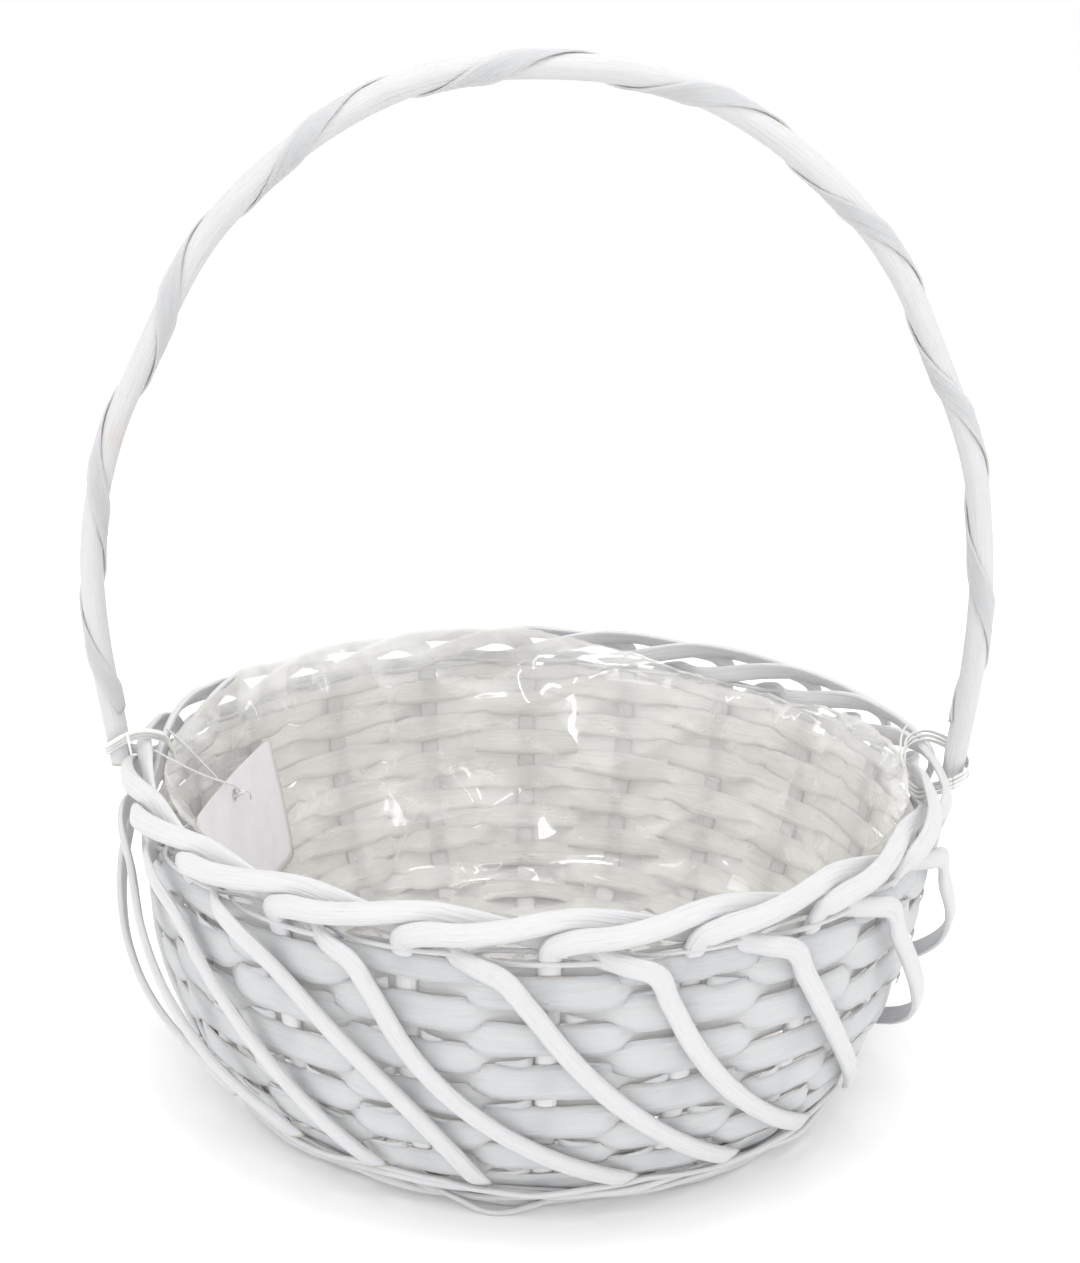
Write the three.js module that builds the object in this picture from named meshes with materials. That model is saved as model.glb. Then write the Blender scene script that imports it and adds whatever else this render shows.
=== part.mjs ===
// Flower girl basket: a round bowl of woven wood chip with a rod border, a rigid bound hoop handle,
// a clear film liner and a blank card tag on a thread.
// Millimetres, +Z up, origin on the basket's axis at the floor, the handle standing in the XZ plane.
// Angles are in degrees from the front (-Y) towards the right (+X).

import * as THREE from 'three';

// Bowl wall: the middle surface of the stakes is a quarter ellipse from the base edge to the rim
const BASE_RADIUS = 84;
const WALL_RADIUS = 115.5;
const BASE_LEVEL = 4.6;
const WALL_TOP = 93;

// Stakes: half-round rods that stand in the wall, fold into the border and run down outside it
const STAKES = 20;
const STAKE_STEP = 360 / STAKES;
const FIRST_STAKE = 2;
const ROD_WIDTH = 6.2;
const ROD_THICK = 2.5;

// Weave: flat chip rows, each over and under alternate stakes
const ROWS = 11;
const FIRST_ROW = 16.9;
const ROW_PITCH = 6.9;
const CHIP_WIDTH = 6.2;
const CHIP_THICK = 1;
const SWING_OUT = 2.8;
const SWING_IN = 1.9;
const WALE_THICK = 1.8;
const WALE_SWING_OUT = 3.4;
const TOP_WALE_LEVEL = 83.9;

// Foot and base
const FOOT_STRAND = 2.6;
const FOOT_STRANDS = [[88, 1.3], [91.8, 2.7], [95.4, 4.9]];
const STICK_WIDTH = 3.6;
const STICK_THICK = 3;
const STICK_LEVEL = 7.65;
const CROSS_LEVEL = 4.3;
const CROSS_PITCH = 4.2;
const STICK_END = 74;
const INNER_BASE_ROWS = [30, 36.5, 43, 49.5];
const INNER_BASE_SWING = 2.45;
const OUTER_BASE_ROWS = [57.5, 64, 70.5];
const OUTER_BASE_SWING = 3.8;
const OUTER_BASE_LEVEL = 6.25;

// Handle: a round rod whose feet are scarfed flat and bound outside the border
const HANDLE_RADIUS = 3.3;
const SCARF_FACE = 122;
const SCARF_TOP = 106;
const HANDLE_HALF = [
  [124.4, 92], [125.8, 108], [127.2, 130], [126, 158], [120.5, 186],
  [108.5, 213], [90, 244], [66, 266], [34, 282.5],
];
const HANDLE_TOP = 286.5;
const SKEIN_WIDTH = 5;
const SKEIN_THICK = 0.7;
const SKEIN_GAP = 1;
const SKEIN_TURNS = 9;
const LASHING_THICK = 1.1;

// Liner and tag
const FILM_THICK = 0.5;
const FILM_OFFSET = 6.3;
const FILM_FLOOR = 12;
const FILM_TOP = 92;
const CARD_WIDTH = 70;
const CARD_HEIGHT = 42.6;
const CARD_THICK = 0.6;
const CARD_HOLE = 2;
const CARD_HOLE_DROP = 6;
const CARD_TOP = 81;
const CARD_DISTANCE = 97;
const CARD_LEAN = 7;
const CARD_AZIMUTH = 10;
const THREAD_DIAMETER = 0.8;
const THREAD_ROUTE = [
  [-112.4, -10.4, 100], [-108.6, -7.6, 96.3], [-104.4, -3.9, 92.1], [-99.9, 1.6, 87.2],
  [-96.4, 7.4, 83.3], [-94.3, 11.6, 80.6], [-93.4, 14.6, 77.9], [-93.4, 16.3, 75.7],
  [-94.5, 16.7, 75.1], [-95.8, 16.8, 76.1], [-97.4, 15.8, 78.6], [-100.4, 14, 83.4],
  [-104.4, 12, 89.3], [-108.5, 9.9, 95.2], [-112.4, 8.1, 100],
];

// Finishes
const finish = (color, roughness, metalness = 0) =>
  new THREE.MeshStandardMaterial({ color, roughness, metalness });
const PAINTED_ROD = finish(0xebebf0, 0.5);
const PAINTED_CHIP = finish(0xe1e4e8, 0.6);
const FILM = finish(0xf4f4f2, 0.1);
const CARD = finish(0xdcdadf, 0.7);
const THREAD = finish(0xf2efe6, 0.8);
const LASHING = finish(0xe6e6e8, 0.5);

const group = new THREE.Group();
const rad = THREE.MathUtils.degToRad;
const addPiece = (name, geometry, material) => {
  const mesh = new THREE.Mesh(geometry, material);
  mesh.name = name;
  group.add(mesh);
};
const numbered = (name, index) => `${name}_${String(index + 1).padStart(2, '0')}`;

const polar = (radius, degrees, z) =>
  new THREE.Vector3(radius * Math.sin(rad(degrees)), -radius * Math.cos(rad(degrees)), z);
const outwards = (degrees) => polar(1, degrees, 0);
const up = new THREE.Vector3(0, 0, 1);

// Half a turn about the axis, for what the two sides share
const swapSides = ([x, y, z]) => [-x, -y, z];

// The wall's ellipse at parameter 0 (base edge) to 90 (rim): radius, height and outward normal
function wallAt(parameter) {
  const t = rad(parameter);
  const height = WALL_TOP - BASE_LEVEL;
  const spread = WALL_RADIUS - BASE_RADIUS;
  const slope = Math.hypot(spread * Math.cos(t), height * Math.sin(t));
  return {
    radius: BASE_RADIUS + spread * Math.sin(t),
    z: BASE_LEVEL + height * (1 - Math.cos(t)),
    normalRadius: (height * Math.sin(t)) / slope,
    normalZ: (-spread * Math.cos(t)) / slope,
  };
}

const parameterAtHeight = (z) =>
  THREE.MathUtils.radToDeg(Math.acos(1 - (z - BASE_LEVEL) / (WALL_TOP - BASE_LEVEL)));

// The wall's parameter at a distance along its surface from the base edge
function parameterAtLength(length) {
  const step = 0.25;
  let travelled = 0;
  let parameter = 0;
  while (travelled < length) {
    const a = wallAt(parameter);
    const b = wallAt(parameter + step);
    travelled += Math.hypot(b.radius - a.radius, b.z - a.z);
    parameter += step;
  }
  return parameter;
}

// A point a given distance outside the wall's middle surface, as [degrees, radius, z]
function outsideWall(degrees, z, offset) {
  const wall = wallAt(parameterAtHeight(z));
  return [degrees, wall.radius + wall.normalRadius * offset, z + wall.normalZ * offset];
}

// A section carried along a row of stations {centre, out}: each section point is [across, out]
function sweptBody(stations, section, closed = false) {
  const count = stations.length;
  const sides = section.length;
  const positions = [];
  stations.forEach(({ centre, out }, i) => {
    const before = stations[closed ? (i + count - 1) % count : Math.max(i - 1, 0)].centre;
    const after = stations[closed ? (i + 1) % count : Math.min(i + 1, count - 1)].centre;
    const along = after.clone().sub(before).normalize();
    const thick = out.clone().addScaledVector(along, -out.dot(along)).normalize();
    const across = thick.clone().cross(along);
    for (const [a, b] of section) {
      const p = centre.clone().addScaledVector(across, a).addScaledVector(thick, b);
      positions.push(p.x, p.y, p.z);
    }
  });
  const index = [];
  for (let i = 0; i < (closed ? count : count - 1); i += 1) {
    for (let j = 0; j < sides; j += 1) {
      const a = i * sides + j;
      const b = i * sides + ((j + 1) % sides);
      const c = ((i + 1) % count) * sides + ((j + 1) % sides);
      const d = ((i + 1) % count) * sides + j;
      index.push(a, b, c, a, c, d);
    }
  }
  if (!closed) {
    const last = (count - 1) * sides;
    for (let j = 1; j < sides - 1; j += 1) {
      index.push(0, j + 1, j, last, last + j, last + j + 1);
    }
  }
  const geometry = new THREE.BufferGeometry();
  geometry.setAttribute('position', new THREE.Float32BufferAttribute(positions, 3));
  geometry.setIndex(index);
  geometry.computeVertexNormals();
  return geometry;
}

const flatSection = (width, thick) => [
  [width / 2, thick / 2], [-width / 2, thick / 2], [-width / 2, -thick / 2], [width / 2, -thick / 2],
];

const roundSection = (radius, sides) => Array.from({ length: sides }, (_, j) => {
  const angle = (2 * Math.PI * (j + 0.5)) / sides;
  return [radius * Math.cos(angle), radius * Math.sin(angle)];
});

// One stake's knots from the base to the cut end: [degrees past the stake, radius, z], and how far
// the flat side's outward direction is turned down from level
function stakeKnots() {
  const standing = [10, 20, 32, 46, 60, 74, 84].map((parameter) => {
    const wall = wallAt(parameter);
    const facing = THREE.MathUtils.radToDeg(Math.atan2(-wall.normalZ, wall.normalRadius));
    return [0, wall.radius, wall.z, facing];
  });
  const border = [
    [0, 116.6, 88], [0.6, 119.2, 91.8], [3.2, 120.6, 94.8], [8, 120.2, 96.4], [13, 119, 97.8],
    [18, 116.8, 98.9], [22, 115.2, 99], [26, 114.2, 97.6], [30, 113.6, 95.4], [34, 113.2, 92.8],
    [37.4, 113.3, 90.6], [39.6, 115.4, 89], [42, 118.6, 88.4], [44.8, 121.4, 88], [48, 122.4, 86.6],
  ].map((knot) => [...knot, 0]);
  const falling = [
    [53, 77], [59, 64], [65, 51.5], [71, 40], [77, 29.5], [82, 22], [86, 17],
  ].map(([degrees, z]) => [...outsideWall(degrees, z, 5.6), 15]);
  return [[0, 54, BASE_LEVEL, 90], [0, 72, BASE_LEVEL, 90], ...standing, ...border, ...falling];
}

function stake(index) {
  const turn = FIRST_STAKE + index * STAKE_STEP;
  const stations = stakeKnots().map(([degrees, radius, z, facing]) => {
    const dip = rad(facing);
    const level = outwards(turn + degrees).multiplyScalar(Math.cos(dip));
    return { centre: polar(radius, turn + degrees, z), out: level.addScaledVector(up, -Math.sin(dip)) };
  });
  return sweptBody(stations, flatSection(ROD_WIDTH, ROD_THICK));
}

// A ring that passes each stake on one side, then the other: `middle` is where it crosses over, and
// its normal the way it swings. It turns a third of the way before and after each stake.
function wovenRing(middle, swingOut, swingIn, section, firstSide) {
  const stations = [];
  for (let i = 0; i < STAKES; i += 1) {
    for (const third of [1 / 3, 2 / 3]) {
      const outside = (i + Math.round(third)) % 2 === (firstSide > 0 ? 0 : 1);
      const swing = outside ? swingOut : -swingIn;
      const degrees = FIRST_STAKE + (i + third) * STAKE_STEP;
      const out = outwards(degrees).multiplyScalar(middle.normalRadius).addScaledVector(up, middle.normalZ);
      const centre = polar(middle.radius, degrees, middle.z).addScaledVector(out, swing);
      stations.push({ centre, out });
    }
  }
  return sweptBody(stations, section, true);
}

function wallRow(index) {
  const wall = wallAt(parameterAtLength(FIRST_ROW + index * ROW_PITCH));
  return wovenRing(wall, SWING_OUT, SWING_IN, flatSection(CHIP_WIDTH, CHIP_THICK), index % 2 ? -1 : 1);
}

function topWale() {
  const wall = wallAt(parameterAtHeight(TOP_WALE_LEVEL));
  return wovenRing(wall, WALE_SWING_OUT, SWING_IN, flatSection(WALE_THICK, WALE_THICK), -1);
}

function footStrand([radius, z]) {
  const stations = [];
  for (let i = 0; i < STAKES; i += 1) {
    const degrees = FIRST_STAKE + (i + 0.5) * STAKE_STEP;
    stations.push({ centre: polar(radius, degrees, z), out: outwards(degrees) });
  }
  return sweptBody(stations, flatSection(FOOT_STRAND, FOOT_STRAND), true);
}

// A base row lies flat and swings up and down over the sticks, or over the sticks and stake ends
function baseRow(radius, z, swing, side) {
  const middle = { radius, z, normalRadius: 0, normalZ: 1 };
  return wovenRing(middle, swing, swing, flatSection(CHIP_WIDTH, CHIP_THICK), side);
}

// A base stick crosses the middle side by side with its fellows, then fans out to its two spokes
function baseStick(index, layer) {
  const perLayer = STAKES / 4;
  const place = index - (perLayer - 1) / 2;
  const middle = layer ? CROSS_LEVEL : STICK_LEVEL;
  const lead = FIRST_STAKE + (layer ? 0 : 90);
  const spoke = STAKE_STEP * place;
  const along = outwards(lead);
  const aside = outwards(lead + 90);
  const half = [[13, 0], [24, 1], [48, 1], [STICK_END, 1]].map(([reach, fanned]) => {
    const straight = along.clone().multiplyScalar(reach).addScaledVector(aside, CROSS_PITCH * place);
    const fan = outwards(lead + spoke).multiplyScalar(reach);
    return (fanned ? fan : straight).setZ(fanned ? STICK_LEVEL : middle);
  });
  const mirrored = half.map((p) => {
    const ahead = p.dot(along);
    return p.clone().addScaledVector(along, -2 * ahead);
  }).reverse();
  const stations = [...mirrored, ...half].map((centre) => ({ centre, out: up.clone() }));
  return sweptBody(stations, flatSection(STICK_WIDTH, STICK_THICK));
}

function handleCurve() {
  const right = HANDLE_HALF.map(([x, z]) => new THREE.Vector3(x, 0, z));
  const left = HANDLE_HALF.map(([x, z]) => new THREE.Vector3(-x, 0, z)).reverse();
  return new THREE.CatmullRomCurve3([...right, new THREE.Vector3(0, 0, HANDLE_TOP), ...left]);
}

function handleRod() {
  const steps = 34;
  const stations = [];
  for (let i = 0; i <= steps; i += 1) {
    stations.push({ centre: handleCurve().getPointAt(i / steps), out: new THREE.Vector3(0, 1, 0) });
  }
  const geometry = sweptBody(stations, roundSection(HANDLE_RADIUS, 8));
  const positions = geometry.getAttribute('position');
  for (let i = 0; i < positions.count; i += 1) {
    const x = positions.getX(i);
    if (positions.getZ(i) < SCARF_TOP && Math.abs(x) < SCARF_FACE) {
      positions.setX(i, Math.sign(x) * SCARF_FACE);
    }
  }
  geometry.computeVertexNormals();
  return geometry;
}

// The flat skein wound round the handle, a small gap clear of the rod
function handleSkein() {
  const curve = handleCurve();
  const stations = [];
  const steps = 12 * SKEIN_TURNS;
  const [start, end] = [0.035, 0.965];
  const level = new THREE.Vector3(0, 1, 0);
  for (let i = 0; i <= steps; i += 1) {
    const share = start + ((end - start) * i) / steps;
    const inPlane = curve.getTangentAt(share).cross(level);
    const angle = (2 * Math.PI * SKEIN_TURNS * i) / steps;
    const out = inPlane.multiplyScalar(Math.cos(angle)).addScaledVector(level, Math.sin(angle));
    const reach = HANDLE_RADIUS + SKEIN_GAP + SKEIN_THICK / 2;
    stations.push({ centre: curve.getPointAt(share).addScaledVector(out, reach), out });
  }
  return sweptBody(stations, flatSection(SKEIN_WIDTH, SKEIN_THICK));
}

// A closed loop of tie over the border on one side of the foot and under it on the other
function lashing(onLeft) {
  const route = [
    [123.5, -8, 93.4], [127, -5.8, 94.5], [129.3, 0, 96], [127, 5.4, 98.6], [122, 6, 101.8],
    [116.5, 5.5, 103.4], [111.2, 3.5, 101.8], [110, -1, 97.3], [110.4, -6, 92], [113.2, -8.8, 90.6],
    [117.5, -9.2, 92], [120.8, -9, 92.8],
  ].map((p) => new THREE.Vector3(...(onLeft ? swapSides(p) : p)));
  const curve = new THREE.CatmullRomCurve3(route, true);
  const middle = new THREE.Vector3(onLeft ? -119 : 119, 0, 97);
  const steps = 32;
  const stations = [];
  for (let i = 0; i < steps; i += 1) {
    const centre = curve.getPoint(i / steps);
    stations.push({ centre, out: centre.clone().sub(middle).normalize() });
  }
  return sweptBody(stations, roundSection(LASHING_THICK / 2, 5), true);
}

// A thin open cup that follows the inside of the wall
function liner() {
  const wallPoint = (parameter, offset) => {
    const wall = wallAt(parameter);
    return new THREE.Vector2(wall.radius - wall.normalRadius * offset, wall.z - wall.normalZ * offset);
  };
  const rising = [13, 22, 34, 48, 62, 76, parameterAtHeight(FILM_TOP)];
  const outer = rising.map((parameter) => wallPoint(parameter, FILM_OFFSET - FILM_THICK));
  const inner = rising.map((parameter) => wallPoint(parameter, FILM_OFFSET)).reverse();
  const floorEdge = BASE_RADIUS - 4;
  const profile = [
    new THREE.Vector2(0, FILM_FLOOR - FILM_THICK), new THREE.Vector2(floorEdge, FILM_FLOOR - FILM_THICK),
    ...outer, ...inner,
    new THREE.Vector2(floorEdge, FILM_FLOOR), new THREE.Vector2(0, FILM_FLOOR),
  ];
  const lathe = new THREE.LatheGeometry(profile, 30);
  lathe.rotateX(Math.PI / 2);
  return lathe;
}

// The card leans along the left wall; its hole is near the middle of the top edge
function tagCard() {
  const outline = new THREE.Shape();
  outline.moveTo(-CARD_WIDTH / 2, -CARD_HEIGHT);
  outline.lineTo(CARD_WIDTH / 2, -CARD_HEIGHT);
  outline.lineTo(CARD_WIDTH / 2, 0);
  outline.lineTo(-CARD_WIDTH / 2, 0);
  const hole = new THREE.Path();
  hole.absarc(0, -CARD_HOLE_DROP, CARD_HOLE, 0, 2 * Math.PI, true);
  outline.holes.push(hole);
  const card = new THREE.ExtrudeGeometry(outline, {
    depth: CARD_THICK, bevelEnabled: false, curveSegments: 8,
  });
  card.translate(0, 0, -CARD_THICK / 2);
  const outward = polar(1, -90 - CARD_AZIMUTH, 0);
  const drop = Math.sqrt(CARD_HEIGHT ** 2 - CARD_LEAN ** 2);
  const upCard = outward.clone().multiplyScalar(CARD_LEAN).addScaledVector(up, drop).normalize();
  const acrossCard = upCard.clone().cross(outward).normalize();
  const facing = acrossCard.clone().cross(upCard);
  const placing = new THREE.Matrix4().makeBasis(acrossCard, upCard, facing);
  placing.setPosition(outward.multiplyScalar(CARD_DISTANCE).setZ(CARD_TOP));
  card.applyMatrix4(placing);
  return card;
}

function tagThread() {
  const route = new THREE.CatmullRomCurve3(THREAD_ROUTE.map((p) => new THREE.Vector3(...p)));
  const section = new THREE.Shape();
  section.absarc(0, 0, THREAD_DIAMETER / 2, 0, 2 * Math.PI, false);
  return new THREE.ExtrudeGeometry(section, {
    extrudePath: route, steps: 36, curveSegments: 4, bevelEnabled: false,
  });
}

for (let i = 0; i < STAKES; i += 1) addPiece(numbered('stake', i), stake(i), PAINTED_ROD);
for (let i = 0; i < ROWS; i += 1) addPiece(numbered('weave_row', i), wallRow(i), PAINTED_CHIP);
addPiece('top_wale', topWale(), PAINTED_CHIP);
FOOT_STRANDS.forEach((strand, i) =>
  addPiece(numbered('foot_wale', i), footStrand(strand), PAINTED_ROD));
for (let i = 0; i < STAKES / 2; i += 1) {
  addPiece(numbered('base_stick', i), baseStick(i % 5, i < 5 ? 0 : 1), PAINTED_ROD);
}
INNER_BASE_ROWS.forEach((radius, i) => {
  const row = baseRow(radius, STICK_LEVEL, INNER_BASE_SWING, i % 2 ? -1 : 1);
  addPiece(numbered('base_row', i), row, PAINTED_CHIP);
});
OUTER_BASE_ROWS.forEach((radius, i) => {
  const row = baseRow(radius, OUTER_BASE_LEVEL, OUTER_BASE_SWING, i % 2 ? -1 : 1);
  addPiece(numbered('base_row', i + INNER_BASE_ROWS.length), row, PAINTED_CHIP);
});
addPiece('handle_rod', handleRod(), PAINTED_ROD);
addPiece('handle_skein', handleSkein(), PAINTED_CHIP);
addPiece('lashing_left', lashing(true), LASHING);
addPiece('lashing_right', lashing(false), LASHING);
addPiece('liner', liner(), FILM);
addPiece('tag_card', tagCard(), CARD);
addPiece('tag_thread', tagThread(), THREAD);

export default group;
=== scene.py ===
"""Flower girl basket: a chip-woven bowl, rod border, bound hoop handle, film liner and hang tag."""

import math

import bmesh
import bpy
import numpy as np
from bpy.props import FloatProperty, FloatVectorProperty, IntProperty, PointerProperty
from mathutils import Matrix


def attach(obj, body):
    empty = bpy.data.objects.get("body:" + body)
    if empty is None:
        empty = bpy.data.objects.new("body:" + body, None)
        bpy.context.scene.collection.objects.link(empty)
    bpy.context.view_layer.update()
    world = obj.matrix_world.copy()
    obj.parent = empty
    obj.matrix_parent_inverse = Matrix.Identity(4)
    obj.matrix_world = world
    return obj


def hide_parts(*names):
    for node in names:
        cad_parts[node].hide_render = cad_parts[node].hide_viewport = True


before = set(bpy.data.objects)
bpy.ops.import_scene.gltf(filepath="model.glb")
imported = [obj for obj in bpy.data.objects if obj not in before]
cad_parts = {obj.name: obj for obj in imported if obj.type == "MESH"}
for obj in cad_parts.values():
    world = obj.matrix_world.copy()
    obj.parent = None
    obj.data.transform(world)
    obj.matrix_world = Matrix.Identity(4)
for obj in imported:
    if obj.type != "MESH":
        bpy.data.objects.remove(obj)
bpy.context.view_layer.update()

bl_info = {
    "name": "Flower girl basket",
    "version": (1, 0, 0),
    "blender": (4, 5, 0),
    "location": "View3D > Sidebar > Basket",
    "description": "Builds a lined, chip-woven flower girl basket round its packed frame",
    "category": "Add Mesh",
}

MM = 0.001
BASKET, HANG_TAG = "basket", "hang_tag"

# The wall's quarter ellipse, in millimetres, as the frame's solids have it
BASE_RADIUS, WALL_RADIUS, BASE_LEVEL, WALL_TOP = 84.0, 115.5, 4.6, 93.0
STAKES, FIRST_STAKE = 20, 2.0
STEP = 360.0 / STAKES
ROWS, FIRST_ROW, ROW_PITCH = 11, 16.9, 6.9


# ---------------------------------------------------------------- numbers and curves

def wander(x, seed, size=1.0, waves=4):
    """A gentle wavering line: a sum of sine waves, each half as tall and twice as quick as the last."""
    rng = np.random.default_rng(seed)
    total = np.zeros_like(x, dtype=float)
    for k in range(waves):
        total += np.sin(x * 2.1 ** k * rng.uniform(0.7, 1.3) + rng.uniform(0, 2 * np.pi)) / 2 ** k
    return size * total / 1.6


def ring_wander(degrees, seed, size=1.0, waves=5, first=1):
    """The same, repeating after a full turn: whole numbers of waves round the ring."""
    rng = np.random.default_rng(seed)
    total = np.zeros_like(degrees, dtype=float)
    for k in range(waves):
        turns = first * 2 ** k + rng.integers(0, 2 ** k + 1)
        total += np.sin(np.radians(degrees) * turns + rng.uniform(0, 2 * np.pi)) / 1.5 ** k
    return size * total / 1.8


def smoothstep(x, low, high):
    """Rises from 0 at low to 1 at high along a cubic with level ends."""
    t = np.clip((x - low) / (high - low), 0, 1)
    return t * t * (3 - 2 * t)


def polar(radius, degrees, z):
    """Points at a radius, an angle from the front (-Y) towards the right (+X), and a height."""
    a = np.radians(degrees)
    radius, a, z = np.broadcast_arrays(radius, a, z)
    return np.stack([radius * np.sin(a), -radius * np.cos(a), z], -1)


def wall(parameter):
    """The quarter ellipse at 0 (base edge) to 90 degrees (rim): radius, height, normal's two parts."""
    t = np.radians(parameter)
    height, spread = WALL_TOP - BASE_LEVEL, WALL_RADIUS - BASE_RADIUS
    slope = np.hypot(spread * np.cos(t), height * np.sin(t))
    return (BASE_RADIUS + spread * np.sin(t), BASE_LEVEL + height * (1 - np.cos(t)),
            height * np.sin(t) / slope, -spread * np.cos(t) / slope)


def wall_at_height(z):
    """The same, found from a height on the wall."""
    ratio = np.clip(1 - (np.asarray(z, float) - BASE_LEVEL) / (WALL_TOP - BASE_LEVEL), -1, 1)
    return wall(np.degrees(np.arccos(ratio)))


def wall_at_length(length):
    """The same, found from the distance along the wall from the base edge."""
    parameter = np.linspace(0, 90, 721)
    radius, z, _, _ = wall(parameter)
    travelled = np.concatenate([[0], np.cumsum(np.hypot(np.diff(radius), np.diff(z)))])
    return wall(np.interp(length, travelled, parameter))


def off_wall(degrees, z, offset):
    """Points a distance outside the wall's middle surface."""
    radius, height, out_r, out_z = wall_at_height(z)
    return polar(radius + out_r * offset, degrees, height + out_z * offset)


def smooth_line(knots, count):
    """A smooth line through knots: cubic Hermite pieces over the chord lengths, sampled evenly."""
    knots = np.asarray(knots, float)
    chord = np.maximum(np.linalg.norm(np.diff(knots[:, :3], axis=0), axis=1), 1e-9)
    t = np.concatenate([[0], np.cumsum(chord)])
    slope = np.diff(knots, axis=0) / chord[:, None]
    weight = chord[:, None]
    inner = (slope[:-1] * weight[1:] + slope[1:] * weight[:-1]) / (weight[1:] + weight[:-1])
    tangent = np.concatenate([slope[:1], inner, slope[-1:]])
    at = np.linspace(0, t[-1], count)
    k = np.clip(np.searchsorted(t, at, side="right") - 1, 0, len(chord) - 1)
    u = ((at - t[k]) / chord[k])[:, None]
    span = chord[k][:, None]
    return ((2 * u ** 3 - 3 * u ** 2 + 1) * knots[k] + (u ** 3 - 2 * u ** 2 + u) * span * tangent[k]
            + (3 * u ** 2 - 2 * u ** 3) * knots[k + 1] + (u ** 3 - u ** 2) * span * tangent[k + 1])


def unit(v):
    return v / np.maximum(np.linalg.norm(v, axis=-1, keepdims=True), 1e-12)


def run_length(centres):
    """Distance travelled along a row of points."""
    return np.concatenate([[0], np.cumsum(np.linalg.norm(np.diff(centres, axis=0), axis=1))])


def directions(centres, out, ring=False):
    """Unit directions along a path, out of it (squared to the path) and across it."""
    if ring:
        along = unit(np.roll(centres, -1, 0) - np.roll(centres, 1, 0))
    else:
        along = unit(np.gradient(centres, axis=0))
    out = unit(out - along * np.sum(out * along, -1, keepdims=True))
    return along, out, np.cross(out, along)


# ---------------------------------------------------------------- meshes

def grid_piece(name, points, finish, uv=None, ring=False, pipe=True, caps=True, marks=None):
    """A mesh from a grid of points (along, around): quads between neighbours, fans over open ends.

    ring closes it along its length, pipe closes it round its section. marks are named numbers, one
    for each grid point, that the finish reads. uv is (along, around) in millimetres."""
    n, m = points.shape[:2]
    rows, cols = (n if ring else n - 1), (m if pipe else m - 1)
    i, j = np.meshgrid(np.arange(rows), np.arange(cols), indexing="ij")
    i, j = i.ravel(), j.ravel()
    i2, j2 = (i + 1) % n, (j + 1) % m
    quads = np.stack([i * m + j, i * m + j2, i2 * m + j2, i2 * m + j], 1)
    vertices = points.reshape(-1, 3)
    if uv is None:
        uv = (np.arange(n + 1, dtype=float), np.arange(m + 1, dtype=float))
    u, v = uv
    corners = np.stack([np.stack([u[i], v[j]], 1), np.stack([u[i], v[j + 1]], 1),
                        np.stack([u[i + 1], v[j + 1]], 1), np.stack([u[i + 1], v[j]], 1)], 1)
    loops, sizes, uvs = [quads.ravel()], [np.full(len(quads), 4)], [corners.reshape(-1, 2)]
    marks = {key: np.broadcast_to(value, (n, m)).ravel() for key, value in (marks or {}).items()}
    if caps and pipe and not ring:
        ends = np.stack([points[0].mean(0), points[-1].mean(0)])
        vertices = np.concatenate([vertices, ends])
        a = np.arange(m)
        b = (a + 1) % m
        start = np.stack([np.full(m, n * m), b, a], 1)
        stop = np.stack([np.full(m, n * m + 1), (n - 1) * m + a, (n - 1) * m + b], 1)
        loops += [start.ravel(), stop.ravel()]
        sizes.append(np.full(2 * m, 3))
        uvs.append(np.zeros((6 * m, 2)))
        marks = {key: np.concatenate([value, [value[0], value[-1]]]) for key, value in marks.items()}
    return build_mesh(name, vertices, np.concatenate(loops), np.concatenate(sizes),
                      np.concatenate(uvs), marks, finish)


def build_mesh(name, vertices, loops, sizes, uvs, marks, finish):
    """Puts whole arrays into a mesh object; the points come in millimetres."""
    mesh = bpy.data.meshes.new(name)
    mesh.vertices.add(len(vertices))
    mesh.vertices.foreach_set("co", (vertices * MM).astype(np.float32).ravel())
    mesh.loops.add(len(loops))
    mesh.loops.foreach_set("vertex_index", loops.astype(np.int32))
    mesh.polygons.add(len(sizes))
    starts = np.concatenate([[0], np.cumsum(sizes)[:-1]])
    mesh.polygons.foreach_set("loop_start", starts.astype(np.int32))
    mesh.update(calc_edges=True)
    mesh.polygons.foreach_set("use_smooth", np.ones(len(sizes), bool))
    layer = mesh.uv_layers.new(name="Lay")
    layer.data.foreach_set("uv", uvs.astype(np.float32).ravel())
    for key, value in marks.items():
        mesh.attributes.new(key, "FLOAT", "POINT").data.foreach_set("value", value.astype(np.float32))
    mesh.validate()
    piece = bpy.data.objects.new(name, mesh)
    bpy.context.scene.collection.objects.link(piece)
    mesh.materials.append(finish)
    return piece


def joined(name, pieces):
    """Several meshes made into one object."""
    with bpy.context.temp_override(active_object=pieces[0], selected_editable_objects=pieces):
        bpy.ops.object.join()
    pieces[0].name = pieces[0].data.name = name
    return pieces[0]


def half_round(width, thick, sides=14):
    """A split rod's section, flat inside and domed outside, for widths and thicknesses along it."""
    a = np.linspace(0, 2 * np.pi, sides, endpoint=False) + np.pi / sides
    dome = np.where(np.sin(a) > 0, np.abs(np.sin(a)) ** 0.65 * 0.62, -np.abs(np.sin(a)) ** 0.3 * 0.38)
    side = np.sign(np.cos(a)) * np.abs(np.cos(a)) ** 0.8
    return np.asarray(width)[:, None] / 2 * side, np.asarray(thick)[:, None] * dome


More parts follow.
